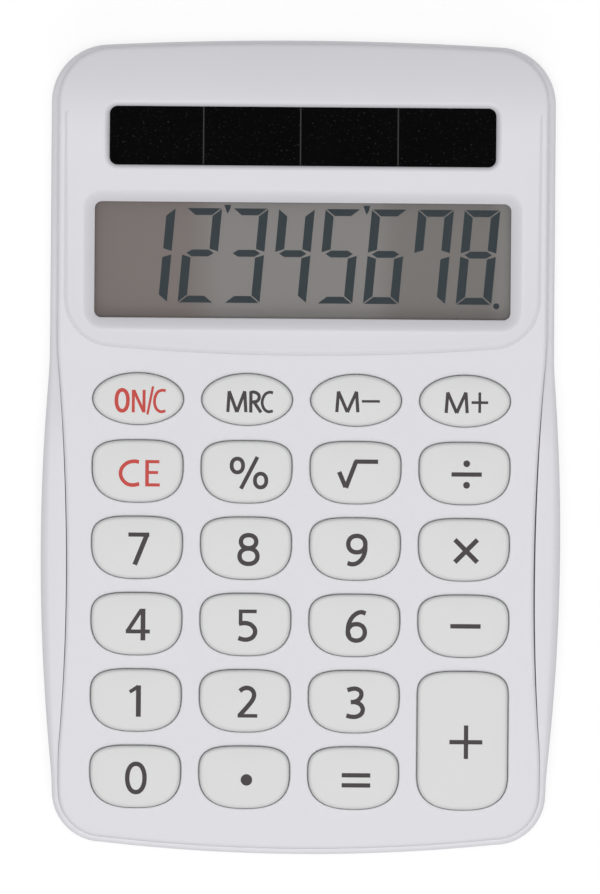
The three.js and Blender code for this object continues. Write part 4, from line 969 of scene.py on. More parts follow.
def build_rear_cover():
    """One shell: a round-footed tray whose rim swells into the grips, with recesses below."""
    sizes = bpy.context.scene.calculator_sizes
    outer = case_outline(SHELL_TOP, SHELL_BOTTOM, SHELL_CORNERS, shell_side)
    cover = case_outline(COVER_TOP, COVER_BOTTOM, COVER_CORNERS, cover_side)
    open_part = swell(cover[:, 1], *SEAM_SPAN)[:, None] ** 0.5
    grip_seam = np.where(cover[:, :1] > 0, sizes.right_grip_seam, sizes.left_grip_seam)
    seam = grown(cover, (sizes.end_seam + (grip_seam - sizes.end_seam) * open_part) / MM)
    inner = grown(cover, -LEDGE_WIDTH)
    shell = Shell()

    # Foot round, wall, and the rim's round: at an inset i it drops r - sqrt(r^2 - (r - i)^2), where
    # r is largest along the grips
    foot_round = quarter(SHELL_FOOT_ROUND, SHELL_FOOT_STEPS)
    levels = [(grown(outer, -inset), FOOT_STAND + drop) for inset, drop in foot_round]
    lip = np.linalg.norm(outer - seam, axis=1)
    edge_round = SHELL_EDGE_ROUND * (0.5 + 0.5 * bow(outer[:, 1], *GRIP_SPAN)[:, None])
    for share in np.linspace(0, 1, SHELL_RIM_STEPS + 1) ** 2:
        inset = lip * share
        reach = np.clip(1 - inset[:, None] / edge_round, 0, 1)
        drop = (edge_round * (1 - np.sqrt(1 - reach**2)))[:, 0]
        ring = outer + (seam - outer) * share
        levels.append((ring, rim_height(ring[:, 1]) - drop))
    shell.stack(*levels, (seam, LEDGE), (inner, LEDGE), (inner, SHELL_FLOOR))

    # Recesses in the underside: panel, feet and screw heads
    panel = rounded_rectangle(PANEL_WIDTH, PANEL_LENGTH, PANEL_CORNER)
    low_panel = grown(panel, -PANEL_DEPTH)
    shell.stack((low_panel, FOOT_STAND + PANEL_DEPTH), (panel, FOOT_STAND))
    shell.sheet(low_panel, [], FOOT_STAND + PANEL_DEPTH, up=False)
    holes, floor_holes = [panel], []
    for x, y in FEET:
        wall = circle(x, y, FOOT_RADIUS + FOOT_RECESS_GAP)
        mouth = grown(wall, FOOT_CHAMFER)
        shell.stack((wall, FOOT_TOP), (wall, FOOT_STAND + FOOT_CHAMFER), (mouth, FOOT_STAND))
        shell.sheet(wall, [], FOOT_TOP, up=False)
        holes.append(mouth)
    for x, y in CASE_SCREWS:
        wall = circle(x, y, HEAD_RECESS_RADIUS)
        mouth = circle(x, y, HEAD_RECESS_RADIUS + HEAD_CHAMFER)
        bore = boss_circle(x, y, SCREW_HOLE_RADIUS, BORE_CLEARANCE)
        boss = boss_circle(x, y, SHELL_BOSS_RADIUS, BOSS_CLEARANCE)
        shell.stack(
            (boss, SHELL_FLOOR), (boss, BOSS_FOOT), (bore, BOSS_FOOT), (bore, SHELL_FLOOR),
            (wall, SHELL_FLOOR), (wall, FOOT_STAND + HEAD_CHAMFER), (mouth, FOOT_STAND),
        )
        holes.append(mouth)
        floor_holes.append(boss)
    shell.sheet(grown(outer, -SHELL_FOOT_ROUND), holes, FOOT_STAND, up=False)
    shell.sheet(inner, floor_holes, SHELL_FLOOR)
    make_piece(
        "calculator_rear_cover", shell, "shell_plastic", nodes=["rear_cover"],
    )


class CALCULATOR_OT_rear_cover(bpy.types.Operator):
    """Makes the rear cover with its grips, recessed panel and screw recesses"""

    bl_idname = "calculator.rear_cover"
    bl_label = "Rear cover"

    def execute(self, context):
        build_rear_cover()
        return {"FINISHED"}


# Keys


def crown_height(outline, x, y):
    """Height of a key's face: a low crown k (1 - (x/a)^2)(1 - (y/b)^2) over its edge."""
    low, high = outline.min(0), outline.max(0)
    centre, half = (low + high) / 2, (high - low) / 2
    across = 1 - np.clip((x - centre[0]) / half[0], -1, 1) ** 2
    along = 1 - np.clip((y - centre[1]) / half[1], -1, 1) ** 2
    return KEY_EDGE_TOP + KEY_CROWN * across * along


def build_key(key):
    """Flange, wall, quarter-round edge and crown over one outline, as rings that shrink towards
    its middle, with a turned plunger below."""
    centre, edge = middle_of(key)[:2], mm("key_edge_round")
    outline = outline_of(key)
    flange, middle = grown(outline, KEY_FLANGE_REACH), outline.mean(0)
    rings = [
        at_height(middle + flange * 0, FLANGE_BOTTOM), at_height(flange, FLANGE_BOTTOM),
        at_height(flange, FLANGE_TOP), at_height(outline, FLANGE_TOP),
    ]
    top = grown(outline, -edge)
    for inset, drop in quarter(edge, KEY_EDGE_STEPS)[::-1]:
        ring = grown(outline, -inset)
        rings.append(at_height(ring, crown_height(top, *ring.T) - drop))
    for share in np.linspace(1, 0, KEY_CROWN_STEPS + 1)[1:]:
        ring = middle + (top - middle) * share
        rings.append(at_height(ring, crown_height(top, *ring.T)))
    shell = Shell()
    shell.loft([ring + [*centre, 0] for ring in rings])
    root = FLANGE_BOTTOM + PLUNGER_ROOT
    shell.turn([
        (0, PLUNGER_BOTTOM), (PLUNGER_RADIUS - PLUNGER_CHAMFER, PLUNGER_BOTTOM),
        (PLUNGER_RADIUS, PLUNGER_BOTTOM + PLUNGER_CHAMFER), (PLUNGER_RADIUS, root), (0, root),
    ], *centre)
    make_piece(f"cap_{key}", shell, "key_plastic", key, [key])


class CALCULATOR_OT_keys(bpy.types.Operator):
    """Makes the 23 key caps, each on its own body"""

    bl_idname = "calculator.keys"
    bl_label = "Keys"

    def execute(self, context):
        for key in KEYS:
            build_key(key)
        return {"FINISHED"}


# Legends: strokes in millimetres from the key's middle, each [kind, width, points]. A curve
# runs smoothly through its points, and a ring is [middle x, middle y, half width, half height].

DIGIT, THIN, FINE = 0.62, 0.52, 0.45


def letter_m(left, right, low, high):
    """Two slightly splayed stems and a V between them."""
    lean, middle = (right - left) * 0.07, (left + right) / 2
    return [
        ("line", FINE, [(left, low), (left + lean, high)]),
        ("line", FINE, [(left + lean, high), (middle, low)]),
        ("line", FINE, [(middle, low), (right - lean, high)]),
        ("line", FINE, [(right - lean, high), (right, low)]),
    ]


LEGENDS = {
    "key_0": [("ring", DIGIT, (0.26, -0.3, 1.2, 1.96))],
    "key_1": [
        ("line", 0.68, [(0.53, -2.4), (0.53, 1.95)]),
        ("line", 0.5, [(-0.68, 1.02), (0.5, 1.82)]),
    ],
    "key_2": [
        ("curve", DIGIT, [(-0.55, 1.28), (-0.08, 1.6), (0.5, 1.72), (1.12, 1.48), (1.44, 0.86),
                          (1.26, 0.1), (0.5, -0.92), (-0.56, -2.1)]),
        ("line", 0.5, [(-0.82, -2.15), (1.92, -2.15)]),
    ],
    "key_3": [
        ("curve", DIGIT, [(-0.72, 1.5), (-0.1, 1.7), (0.55, 1.7), (1.1, 1.36), (1.2, 0.78),
                          (0.85, 0.2), (0.25, -0.1), (-0.25, -0.14)]),
        ("curve", DIGIT, [(-0.25, -0.14), (0.35, -0.14), (1.08, -0.46), (1.42, -1.1), (1.2, -1.78),
                          (0.55, -2.14), (-0.2, -2.16), (-0.85, -2.0)]),
    ],
    "key_4": [
        ("line", 0.66, [(1.08, -2.4), (1.08, 2.0)]),
        ("line", 0.54, [(0.86, 1.86), (-1.1, -1.16)]),
        ("line", 0.54, [(-1.3, -1.16), (2.04, -1.16)]),
    ],
    "key_5": [
        ("line", 0.5, [(-0.76, 1.74), (1.72, 1.74)]),
        ("line", 0.52, [(-0.5, 1.98), (-0.5, -0.04)]),
        ("curve", DIGIT, [(-0.72, 0.02), (0.1, 0.12), (0.86, -0.06), (1.42, -0.62), (1.5, -1.28),
                          (1.12, -1.88), (0.45, -2.16), (-0.2, -2.14), (-0.8, -1.96)]),
    ],
    "key_6": [
        ("curve", DIGIT, [(1.72, 1.58), (1.1, 1.76), (0.4, 1.52), (-0.22, 0.92), (-0.64, 0.0),
                          (-0.72, -1.0), (-0.52, -1.6)]),
        ("ring", DIGIT, (0.44, -1.05, 1.18, 1.14)),
    ],
    "key_7": [
        ("line", 0.58, [(-1.04, 1.68), (1.86, 1.68)]),
        ("line", 0.66, [(1.5, 1.6), (-0.14, -2.5)]),
    ],
    "key_8": [
        ("ring", DIGIT, (0.52, 0.82, 1.06, 0.9)),
        ("ring", DIGIT, (0.52, -1.2, 1.24, 1.06)),
    ],
    "key_9": [
        ("ring", DIGIT, (0.42, 0.6, 1.18, 1.14)),
        ("curve", DIGIT, [(1.54, 0.95), (1.6, 0.45), (1.54, -0.5), (1.16, -1.42), (0.5, -2.02),
                          (-0.2, -2.2), (-0.86, -2.04)]),
    ],
    "key_point": [("dot", 0, (0.48, -0.45, 0.8, 0.8))],
    "key_equals": [
        ("line", 0.6, [(-1.43, 0.3), (2.54, 0.3)]),
        ("line", 0.6, [(-1.43, -1.09), (2.54, -1.09)]),
    ],
    "key_plus": [
        ("line", 0.6, [(-1.64, -0.28), (2.92, -0.28)]),
        ("line", 0.6, [(0.66, 2.05), (0.66, -2.6)]),
    ],
    "key_minus": [("line", DIGIT, [(-1.64, -0.1), (2.56, -0.1)])],
    "key_multiply": [
        ("line", 0.66, [(-1.09, 1.32), (2.03, -1.8)]),
        ("line", 0.66, [(2.03, 1.32), (-1.09, -1.8)]),
    ],
    "key_divide": [
        ("line", 0.6, [(-1.64, -0.22), (2.56, -0.22)]),
        ("dot", 0, (0.46, 1.27, 0.47, 0.47)),
        ("dot", 0, (0.46, -1.71, 0.47, 0.47)),
    ],
    "key_square_root": [
        ("line", 0.62, [(-2.1, 0.0), (-1.2, -2.1)]),
        ("line", 0.62, [(-1.16, -2.2), (0.24, 1.5)]),
        ("line", 0.6, [(0.06, 1.45), (3.28, 1.45)]),
    ],
    "key_percent": [
        ("ring", 0.54, (-1.12, 0.78, 0.79, 0.95)),
        ("ring", 0.54, (2.12, -1.28, 0.79, 0.95)),
        ("line", 0.54, [(1.66, 1.98), (-0.6, -2.44)]),
    ],
    "key_clear_entry": [
        ("curve", THIN, [(0.36, 1.16), (-0.3, 1.26), (-1.2, 1.06), (-1.94, 0.42), (-2.2, -0.4),
                         (-1.96, -1.22), (-1.3, -1.86), (-0.45, -2.04), (0.4, -1.86)]),
        ("line", 0.5, [(1.48, 1.44), (1.48, -2.22)]),
        ("line", 0.44, [(1.4, 1.22), (3.18, 1.22)]),
        ("line", 0.42, [(1.4, -0.28), (3.0, -0.28)]),
        ("line", 0.44, [(1.4, -2.0), (3.26, -2.0)]),
    ],
    "key_on_clear": [
        ("ring", THIN, (-2.05, -0.34, 0.8, 1.45)),
        ("line", 0.42, [(-0.5, -2.0), (-0.5, 1.14)]),
        ("line", 0.42, [(-0.46, 1.1), (0.96, -1.96)]),
        ("line", 0.42, [(0.98, -2.0), (0.98, 1.14)]),
        ("line", 0.34, [(2.22, 1.62), (1.46, -2.28)]),
        ("curve", 0.4, [(3.98, 1.0), (3.5, 1.1), (2.86, 0.82), (2.5, 0.1), (2.44, -0.7),
                        (2.72, -1.5), (3.3, -1.88), (3.96, -1.76)]),
    ],
    "key_memory_recall": [
        *letter_m(-2.5, 0.0, -1.85, 1.05),
        ("line", FINE, [(0.68, -1.9), (0.68, 1.05)]),
        ("curve", FINE, [(0.68, 0.92), (1.2, 0.92), (1.72, 0.62), (1.82, 0.1), (1.5, -0.34),
                         (0.7, -0.46)]),
        ("line", FINE, [(1.16, -0.5), (2.1, -1.88)]),
        ("curve", 0.4, [(3.74, 0.84), (3.3, 0.94), (2.72, 0.7), (2.34, 0.04), (2.26, -0.66),
                        (2.52, -1.36), (3.06, -1.76), (3.74, -1.66)]),
    ],
    "key_memory_minus": [
        *letter_m(-2.5, 0.42, -1.75, 1.12),
        ("line", 0.36, [(0.96, -0.22), (3.46, -0.22)]),
    ],
    "key_memory_plus": [
        *letter_m(-2.45, 0.47, -1.75, 1.12),
        ("line", 0.38, [(1.06, -0.28), (3.36, -0.28)]),
        ("line", 0.38, [(2.2, 1.14), (2.2, -1.7)]),
    ],
}
RED_LEGENDS = ("key_on_clear", "key_clear_entry")
LEGEND_STEP, LEGEND_SHIFT, INK_DEPTH = 0.35, (-0.16, 0.1), 0.03
CURVE_STEPS, SHARPEST_MITRE = 8, 0.12


def smooth_path(points):
    """Catmull-Rom curve through the points: each span is the usual cubic of its four nearest."""
    points = np.array(points, float)
    ends = 2 * points[[0, -1]] - points[[1, -2]]
    padded = np.concatenate([ends[:1], points, ends[1:]])
    p0, p1, p2, p3 = (padded[i:len(padded) - 3 + i, None] for i in range(4))
    t = np.linspace(0, 1, CURVE_STEPS + 1)[None, :-1, None]
    spans = 0.5 * (
        2 * p1 + (p2 - p0) * t + (2 * p0 - 5 * p1 + 4 * p2 - p3) * t**2
        + (3 * p1 - p0 - 3 * p2 + p3) * t**3
    )
    return np.concatenate([spans.reshape(-1, 2), points[-1:]])


def split_line(points):
    """The same straight strokes with a point at least at every legend step."""
    points = np.array(points, float)
    parts = []
    for a, b in zip(points[:-1], points[1:]):
        count = max(math.ceil(np.linalg.norm(b - a) / LEGEND_STEP), 1)
        parts.append(a + (b - a) * np.linspace(0, 1, count, endpoint=False)[:, None])
    return np.concatenate([*parts, points[-1:]])


def ribbon(path, width, closed=False):
    """Quads half a width to each side of a path; a sharp corner is mitred."""
    if closed:
        before, after = np.roll(path, 1, 0), np.roll(path, -1, 0)
    else:
        before = np.concatenate([2 * path[:1] - path[1:2], path[:-1]])
        after = np.concatenate([path[1:], 2 * path[-1:] - path[-2:-1]])
    into, out = path - before, after - path
    into /= np.linalg.norm(into, axis=1)[:, None]
    out /= np.linalg.norm(out, axis=1)[:, None]
    normal = np.c_[-(into + out)[:, 1], (into + out)[:, 0]]
    normal /= np.maximum(1 + (into * out).sum(1), SHARPEST_MITRE)[:, None]
    left, right = path + normal * width / 2, path - normal * width / 2
    if closed:
        left, right = (np.concatenate([edge, edge[:1]]) for edge in (left, right))
    return list(np.stack([left[:-1], right[:-1], right[1:], left[1:]], axis=1))


def oval(x, y, half_width, half_height, power=2.15, steps=56):
    """Superellipse |x/a|^p + |y/b|^p = 1 round a middle."""
    angle = np.linspace(0, 2 * np.pi, steps, endpoint=False)
    cosine, sine = np.cos(angle), np.sin(angle)
    return np.c_[
        x + half_width * np.sign(cosine) * np.abs(cosine) ** (2 / power),
        y + half_height * np.sign(sine) * np.abs(sine) ** (2 / power),
    ]


def stroke_polygons(kind, width, points):
    """Convex polygons of a stroke: quads along its path, or round the core of a dot."""
    if kind == "dot":
        reach = np.array(points[2:])
        outer, core = (
            oval(*points[:2], *(reach * share), power=2, steps=32) for share in (1, 0.5)
        )
        around = np.stack([outer, np.roll(outer, -1, 0), np.roll(core, -1, 0), core], axis=1)
        return [*around, core]
    if kind == "ring":
        return ribbon(oval(*points), width, closed=True)
    return ribbon(smooth_path(points) if kind == "curve" else split_line(points), width)


def build_legend(key, strokes):
    """Prints a key's strokes as one thin film of ink that follows the key's crown."""
    polygons = [polygon for stroke in strokes for polygon in stroke_polygons(*stroke)]
    flat, triangles = merged(polygons)
    flat = flat + LEGEND_SHIFT
    height = crown_height(grown(outline_of(key), -mm("key_edge_round")), *flat.T)
    shell = Shell()
    shell.prism(
        flat + middle_of(key)[:2], triangles, height - INK_DEPTH, height + mm("ink_height")
    )
    make_piece(f"legend_{key}", shell, "red_ink" if key in RED_LEGENDS else "dark_ink", key)


class CALCULATOR_OT_legends(bpy.types.Operator):
    """Prints the generic legends on the keys: digits, operators and memory keys"""

    bl_idname = "calculator.legends"
    bl_label = "Key legends"

    def execute(self, context):
        for key, strokes in LEGENDS.items():
            build_legend(key, strokes)
        return {"FINISHED"}


# Display

SEGMENT_WIDTH, SEGMENT_HEIGHT, SEGMENT_GAP = 1.38, 1.12, 0.16
DIGIT_WIDTH, DIGIT_HEIGHT, DIGIT_WAIST, WAIST_GAP, BAR_END = 5.1, 13.3, 6.98, 0.12, 0.5
DIGIT_PITCH, DIGIT_SLANT = 6.43, math.tan(math.radians(5))
LAST_DIGIT_X, DIGIT_BASE = 21.18, 19.62
FILM_DEPTH, FILM_RISE = 0.05, 0.012
# Thousands tick, from a little right of its digit's top corner, and the point after the last digit
TICK_SHIFT = 0.62
TICK = np.array([(-0.45, 0.4), (0.5, 0.4), (0.4, -0.25), (0.1, -0.85), (-0.15, -0.3)])
POINT_SHIFT, POINT_DROP, POINT_RADIUS = 5.72, 0.12, 0.42
DIGITS, TICKED = "12345678", "25"
LIT = {
    "1": "bc", "2": "abged", "3": "abgcd", "4": "fgbc", "5": "afgcd", "6": "afgedc", "7": "fabc",
    "8": "abcdefg",
}


def segments():
    """The seven segments of a digit as upright polygons that meet along their mitres."""
    w, h, tv, th, m = DIGIT_WIDTH, DIGIT_HEIGHT, SEGMENT_WIDTH, SEGMENT_HEIGHT, DIGIT_WAIST
    high, low = m + th / 2, m - th / 2
    return {
        "a": [(0, h), (tv, h - th), (w - tv, h - th), (w, h)],
        "b": [(w, h), (w - tv, h - th), (w - tv, high), (w, m + WAIST_GAP)],
        "c": [(w, m - WAIST_GAP), (w - tv, low), (w - tv, th), (w, 0)],
        "d": [(0, 0), (w, 0), (w - tv, th), (tv, th)],
        "e": [(0, m - WAIST_GAP), (0, 0), (tv, th), (tv, low)],
        "f": [(0, h), (0, m + WAIST_GAP), (tv, high), (tv, h - th)],
        "g": [(BAR_END, m), (tv, low), (w - tv, low), (w - BAR_END, m), (w - tv, high), (tv, high)],
    }


def shrunk(polygon, inset):
    """Moves every side of a convex anticlockwise polygon inwards by one distance."""
    before, after = np.roll(polygon, 1, 0), np.roll(polygon, -1, 0)
    into, out = polygon - before, after - polygon
    into, out = (side / np.linalg.norm(side, axis=1)[:, None] for side in (into, out))
    inward = np.c_[-(into + out)[:, 1], (into + out)[:, 0]]
    return polygon + inward / (1 + (into * out).sum(1))[:, None] * inset


def anticlockwise(polygon):
    """Turned round where its area, half the sum of x y' - x' y over its sides, is below zero."""
    polygon = np.array(polygon, float)
    x, y = polygon.T
    area = (x * np.roll(y, -1) - np.roll(x, -1) * y).sum()
    return polygon if area > 0 else polygon[::-1]


def display_marks():
    """All lit segments, thousands ticks and the point, in the plane of the display."""
    shapes = {
        name: shrunk(anticlockwise(shape), SEGMENT_GAP / 2) for name, shape in segments().items()
    }
    base = DIGIT_BASE - WINDOW_Y
    marks = []
    for place, digit in enumerate(DIGITS):
        left = LAST_DIGIT_X - (len(DIGITS) - 1 - place) * DIGIT_PITCH
        marks += [shapes[name] + [left, base] for name in LIT[digit]]
        if digit in TICKED:
            corner = [left + DIGIT_WIDTH + TICK_SHIFT, base + DIGIT_HEIGHT]
            marks.append(anticlockwise(TICK + corner))
    for mark in marks:
        mark[:, 0] += DIGIT_SLANT * (mark[:, 1] - base)
    point = circle(LAST_DIGIT_X + POINT_SHIFT, base - POINT_DROP, POINT_RADIUS, steps=20)
    return [*marks, point]


def build_display():
    """The lit segments as one film on the front polariser, in the tilted frame."""
    flat, triangles = merged(display_marks())
    top = -SKIN - PANE_GAP - PANE_THICKNESS - PANE_GAP
    shell = Shell()
    shell.prism(flat, triangles, top - FILM_DEPTH, top + FILM_RISE)
    shell.points = [to_display(points) for points in shell.points]
    make_piece("display_segments", shell, "display_digit")
    repaint({
        "display_window": "window_pane", "lcd_front_polariser": "polariser_film",
        "lcd_front_glass": "display_glass", "lcd_rear_glass": "display_glass",
        "lcd_reflector": "reflector_film", "lcd_connector": "ribbon_film",
    })


class CALCULATOR_OT_display(bpy.types.Operator):
    """Lights the eight digits and finishes the layers of the display"""

    bl_idname = "calculator.display"
    bl_label = "Display"

    def execute(self, context):
        build_display()
        return {"FINISHED"}


# Solar cell

SCRIBE_LINES = (-13.86, -0.42, 13.1)
SCRIBE_WIDTH, SCRIBE_LENGTH, SCRIBE_CORNER = 0.18, SOLAR_HEIGHT + 1.6, 0.04
SCRIBE_DEPTH, SCRIBE_RISE = 0.02, 0.008


def build_solar_cell():
    """Thin scribed lines between the four cells, on the finished cell plate."""
    repaint({"solar_cell": "solar_glass"})
    top = box_of("solar_cell")[1][2]
    low, high = top - SCRIBE_DEPTH, top + SCRIBE_RISE
    shell = Shell()
    line = rounded_rectangle(SCRIBE_WIDTH, SCRIBE_LENGTH, SCRIBE_CORNER, step=2, corner_steps=2)
    for x in SCRIBE_LINES:
        loop = line + [x, SOLAR_Y]
        shell.stack((loop, low), (loop, high))
        shell.sheet(loop, [], high)
        shell.sheet(loop, [], low, up=False)
    make_piece("solar_cell_lines", shell, "cell_scribe_line")


class CALCULATOR_OT_solar_cell(bpy.types.Operator):
    """Finishes the solar cell and scribes the lines between its four cells"""

    bl_idname = "calculator.solar_cell"
    bl_label = "Solar cell"

    def execute(self, context):
        build_solar_cell()
        return {"FINISHED"}


# Inside parts

DOME_BASE, DOME_NECK, DOME_WALL, DOME_NECK_ROUND, DOME_FOLDED = 3.6, 2.2, 0.5, 0.3, 0.44
SHEET_GAP, SHEET_POINTS, SHEET_SHORTEST = 0.4, 240, 0.02


def build_membrane():
    """The silicone sheet, with an opening at each dome."""
    cover = case_outline(COVER_TOP, COVER_BOTTOM, COVER_CORNERS, cover_side)
    low, high = box_of("key_membrane")[0][1], box_of("key_membrane")[1][1]
    sheet = grown(cover, -COVER_WALL - SHEET_GAP)
    sheet = np.c_[sheet[:, 0], np.clip(sheet[:, 1], low, high)]
    keep = np.linalg.norm(sheet - np.roll(sheet, 1, 0), axis=1) > SHEET_SHORTEST
    sheet = evenly(sheet[keep], SHEET_POINTS)
    mouths = [circle(*middle_of(key)[:2], DOME_BASE) for key in KEYS]
    shell = Shell()
    shell.stack((sheet, BOARD_TOP), (sheet, SHEET_TOP))
    shell.sheet(sheet, mouths, SHEET_TOP)
    shell.sheet(sheet, mouths, BOARD_TOP, up=False)
    for mouth in mouths:
        shell.stack((mouth, SHEET_TOP), (mouth, BOARD_TOP))
    make_piece(
        "key_membrane_sheet", shell, "silicone_rubber", nodes=["key_membrane"]
    )


def build_dome(key):
    """A dome turned from its half section."""
    x, y = middle_of(key)[:2]
    roof, base, neck = DOME_TOP - DOME_WALL, DOME_BASE - DOME_WALL, DOME_NECK - DOME_WALL
    dome = Shell()
    dome.turn([
        (0, roof), (neck - DOME_NECK_ROUND, roof), (neck, roof - 0.2), (base, BOARD_TOP),
        (DOME_BASE, BOARD_TOP), (DOME_BASE, SHEET_TOP), (DOME_BASE - 0.15, SHEET_TOP + 0.05),
        (DOME_NECK, DOME_TOP - 0.35), (DOME_NECK - 0.08, DOME_TOP - 0.12),
        (DOME_NECK - DOME_NECK_ROUND, DOME_TOP), (0, DOME_TOP),
    ], x, y)
    piece = make_piece(f"dome_{key}", dome, "silicone_rubber")
    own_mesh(piece)


class CALCULATOR_OT_inside(bpy.types.Operator):
    """Makes the silicone membrane with its domes, and finishes the board and its parts"""

    bl_idname = "calculator.inside"
    bl_label = "Inside parts"

    def execute(self, context):
        build_membrane()
        for key in KEYS:
            build_dome(key)
        repaint({
            "circuit_board": "board_laminate", "chip_cover": "black_resin",
            "storage_capacitor": "capacitor_sleeve", "clamp_diode": "diode_glass",
            "solar_wire_red": "red_sleeve", "solar_wire_black": "black_sleeve",
        })
        return {"FINISHED"}


# Screws and feet

FOOT_DISH, FOOT_EDGE_ROUND = ((0, 0.12), (2.2, 0.12), (2.6, 0.04), (2.9, 0.0)), 0.35
SCREW_PLAY, SCREW_TIP, HEAD_EDGE_ROUND = 0.12, 0.3, 0.3
THREAD_START, THREAD_STOP, THREAD_STEP, THREAD_DEPTH = 1.6, 0.5, 0.2, 0.16
CROSS_MOUTH, CROSS_BOTTOM, CROSS_DEPTH = (0.85, 0.2), (0.5, 0.14), 0.55


def build_foot(index):
    """A turned rubber foot with a round edge and a shallow dish in its face."""
    cad_node = f"rubber_foot_{index}"
    edge = quarter(FOOT_EDGE_ROUND, FOOT_EDGE_STEPS)
    rounding = [(FOOT_RADIUS - inset, drop) for inset, drop in edge]
    profile = [*FOOT_DISH, *rounding, (FOOT_RADIUS, FOOT_TOP), (0, FOOT_TOP)]
    shell = Shell()
    shell.turn(profile, *FEET[index - 1], FOOT_STEPS)
    make_piece(
        f"turned_{cad_node}", shell, "foot_rubber", nodes=[cad_node]
    )


def cross_outline(half_length, half_width):
    """A cross with twelve corners, anticlockwise."""
    arm = [(half_length, -half_width), (half_length, half_width), (half_width, half_width)]
    x, y = np.array(arm).T
    turns = [(x, y), (-y, x), (-x, -y), (y, -x)]
    return np.concatenate([np.c_[turn] for turn in turns])


def build_case_screw(index):
    """A pan-head screw seen from below: round-edged head, tapered cross recess and thread."""
    cad_node = f"case_screw_{index}"
    low, high = box_of(cad_node)
    x, y = (low + high)[:2] / 2
    head, shaft = (high[0] - low[0]) / 2, SCREW_HOLE_RADIUS - SCREW_PLAY
    edge = quarter(HEAD_EDGE_ROUND, HEAD_EDGE_STEPS)
    rounding = [(head - inset, low[2] + drop) for inset, drop in edge]
    turns = np.arange(low[2] + THREAD_START, high[2] - THREAD_STOP, THREAD_STEP)
    thread = [(shaft - THREAD_DEPTH * (i % 2), z) for i, z in enumerate(turns)]
    shell = Shell()
    shell.turn([
        *rounding, (head, SHELL_FLOOR), (shaft, SHELL_FLOOR), *thread,
        (SCREW_TIP, high[2]), (0, high[2]),
    ], x, y, SCREW_STEPS)
    mouth, bottom = cross_outline(*CROSS_MOUTH) + [x, y], cross_outline(*CROSS_BOTTOM) + [x, y]
    shell.sheet(circle(x, y, rounding[0][0], SCREW_STEPS), [mouth], low[2], up=False)
    shell.stack((bottom, low[2] + CROSS_DEPTH), (mouth, low[2]))
    shell.sheet(bottom, [], low[2] + CROSS_DEPTH, up=False)
    make_piece(
        f"turned_{cad_node}", shell, "screw_steel", nodes=[cad_node]
    )


class CALCULATOR_OT_fasteners(bpy.types.Operator):
    """Makes the rubber feet and the case screws, and finishes the board screws"""

    bl_idname = "calculator.fasteners"
    bl_label = "Screws and feet"

    def execute(self, context):
        for index in range(1, 5):
            build_foot(index)
            build_case_screw(index)
            repaint({f"board_screw_{index}": "screw_steel"})
        return {"FINISHED"}


# Stage

PIXELS_PER_MM, PHOTO_HEIGHT, SENSOR_MM = 7.215, 894, 36
CAMERA_DISTANCE, CAMERA_ROLL, CAMERA_SHIFT = 2.4, math.radians(0.45), (-0.17, 0.025)
CAMERA_NEAR, CAMERA_FAR = 0.05, 20
# The floor's own tone, the tone and glow it has for rays that see the background, and the world's
# strength as a fill light
FLOOR_HALF, PAPER_TONE, SEEN_TONE, SEEN_GLOW, WORLD_FILL = 3, 0.93, 0.27, 0.77, 0.388
# Soft boxes that point at the object: place in metres, width, height and power
SOFTBOXES = {
    "overhead_softbox": ((0.0, -0.1, 2.7), 0.9, 0.9, 27.1),
    "key_end_softbox": ((0.0, -0.72, 0.85), 1.0, 0.6, 2.13),
}


def grey(tone):
    return (tone, tone, tone, 1)


def background_share(tree):
    """One for rays that see the background: from the camera, a gloss or through glass."""
    path = node(tree, "ShaderNodeLightPath")
    share = path.outputs["Is Camera Ray"]
    for ray in ("Is Glossy Ray", "Is Transmission Ray"):
        inputs = {0: share, 1: path.outputs[ray]}
        share = node(tree, "ShaderNodeMath", inputs, operation="MAXIMUM").outputs[0]
    return share


def add_floor():
    """Paper that is lit like a pale floor and looks white where it is seen."""
    mesh = bpy.data.meshes.new("floor")
    corners = [(-1, -1), (1, -1), (1, 1), (-1, 1)]
    mesh.from_pydata([(x * FLOOR_HALF, y * FLOOR_HALF, 0) for x, y in corners], [], [range(4)])
    material, tree, shader = new_material("studio_paper")
    fibre = noise(tree, object_place(tree), 1.5, 4.0, 0.6)
    paper = tinted(tree, fibre, grey(PAPER_TONE), 0.99)
    feed(tree, shader, {
        "Base Color": blend(tree, background_share(tree), paper, grey(SEEN_TONE)),
        "Roughness": 0.9,
        "Specular IOR Level": 0.1,
        "Emission Strength": background_share(tree),
        "Emission Color": grey(SEEN_GLOW),
    })
    mesh.materials.append(material)
    floor = bpy.data.objects.new("floor", mesh)
    bpy.context.scene.collection.objects.link(floor)


def add_world():
    """White where it is seen, a plain fill light elsewhere."""
    world = bpy.data.worlds.new("studio")
    world.use_nodes = True
    tree = world.node_tree
    strength = spread(tree, background_share(tree), WORLD_FILL, 1.0)
    feed(tree, tree.nodes["Background"], {"Strength": strength, "Color": grey(1)})
    bpy.context.scene.world = world


def add_lamp(name, place, width, height, power):
    """An area lamp that points at the origin."""
    data = bpy.data.lights.new(name, "AREA")
    data.shape, data.size, data.size_y, data.energy = "RECTANGLE", width, height, power
    lamp = bpy.data.objects.new(name, data)
    lamp.location = place
    x, y, z = place
    lamp.rotation_euler = (math.atan2(math.hypot(x, y), z), 0, math.atan2(x, -y))
    bpy.context.scene.collection.objects.link(lamp)


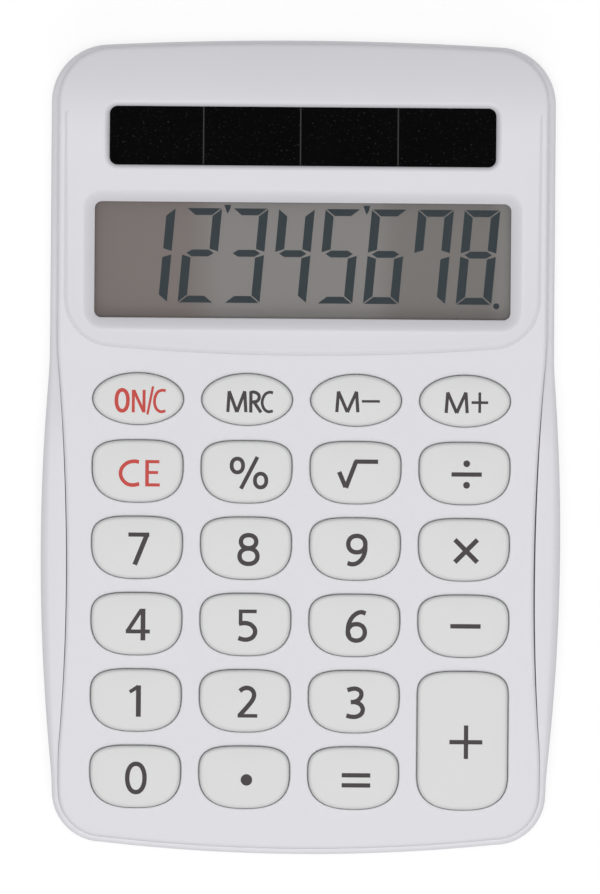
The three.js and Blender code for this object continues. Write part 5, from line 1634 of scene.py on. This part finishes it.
def add_camera():
    """A camera straight above, rolled as the photo is."""
    data = bpy.data.cameras.new("photo_camera")
    data.sensor_width = SENSOR_MM
    data.lens = data.sensor_width * CAMERA_DISTANCE / (PHOTO_HEIGHT / PIXELS_PER_MM * MM)
    data.clip_start, data.clip_end = CAMERA_NEAR, CAMERA_FAR
    camera = bpy.data.objects.new("photo_camera", data)
    x, y = CAMERA_SHIFT
    camera.location = (x * MM, y * MM, CAMERA_DISTANCE + FACE * MM)
    camera.rotation_euler = (0, 0, CAMERA_ROLL)
    bpy.context.scene.collection.objects.link(camera)
    bpy.context.scene.camera = camera


class CALCULATOR_OT_stage(bpy.types.Operator):
    """Sets the pale floor, the soft studio light and the camera straight above"""

    bl_idname = "calculator.stage"
    bl_label = "Studio"

    def execute(self, context):
        context.scene.view_settings.view_transform = "Standard"
        add_floor()
        add_world()
        for name, lamp in SOFTBOXES.items():
            add_lamp(name, *lamp)
        add_camera()
        return {"FINISHED"}


class CALCULATOR_PT_build(bpy.types.Panel):
    """Lists what can be built, with its sizes and colours"""

    bl_idname = "CALCULATOR_PT_build"
    bl_label = "Pocket calculator"
    bl_space_type = "VIEW_3D"
    bl_region_type = "UI"
    bl_category = "Calculator"

    def draw(self, context):
        for group in (context.scene.calculator_sizes, context.scene.calculator_colors):
            column = self.layout.column()
            for name in type(group).__annotations__:
                column.prop(group, name)
        for operator in OPERATORS:
            self.layout.operator(operator.bl_idname)


OPERATORS = (
    CALCULATOR_OT_front_cover,
    CALCULATOR_OT_rear_cover,
    CALCULATOR_OT_keys,
    CALCULATOR_OT_legends,
    CALCULATOR_OT_display,
    CALCULATOR_OT_solar_cell,
    CALCULATOR_OT_inside,
    CALCULATOR_OT_fasteners,
    CALCULATOR_OT_stage,
)
CLASSES = (CalculatorSizes, CalculatorColors, *OPERATORS, CALCULATOR_PT_build)


def register():
    for item in CLASSES:
        bpy.utils.register_class(item)
    bpy.types.Scene.calculator_sizes = bpy.props.PointerProperty(type=CalculatorSizes)
    bpy.types.Scene.calculator_colors = bpy.props.PointerProperty(type=CalculatorColors)


def unregister():
    del bpy.types.Scene.calculator_colors
    del bpy.types.Scene.calculator_sizes
    for item in reversed(CLASSES):
        bpy.utils.unregister_class(item)


def main():
    """Registers the classes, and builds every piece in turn."""
    register()
    for operator in OPERATORS:
        getattr(bpy.ops.calculator, operator.bl_idname.split(".")[1])()


if __name__ == "__main__":
    main()
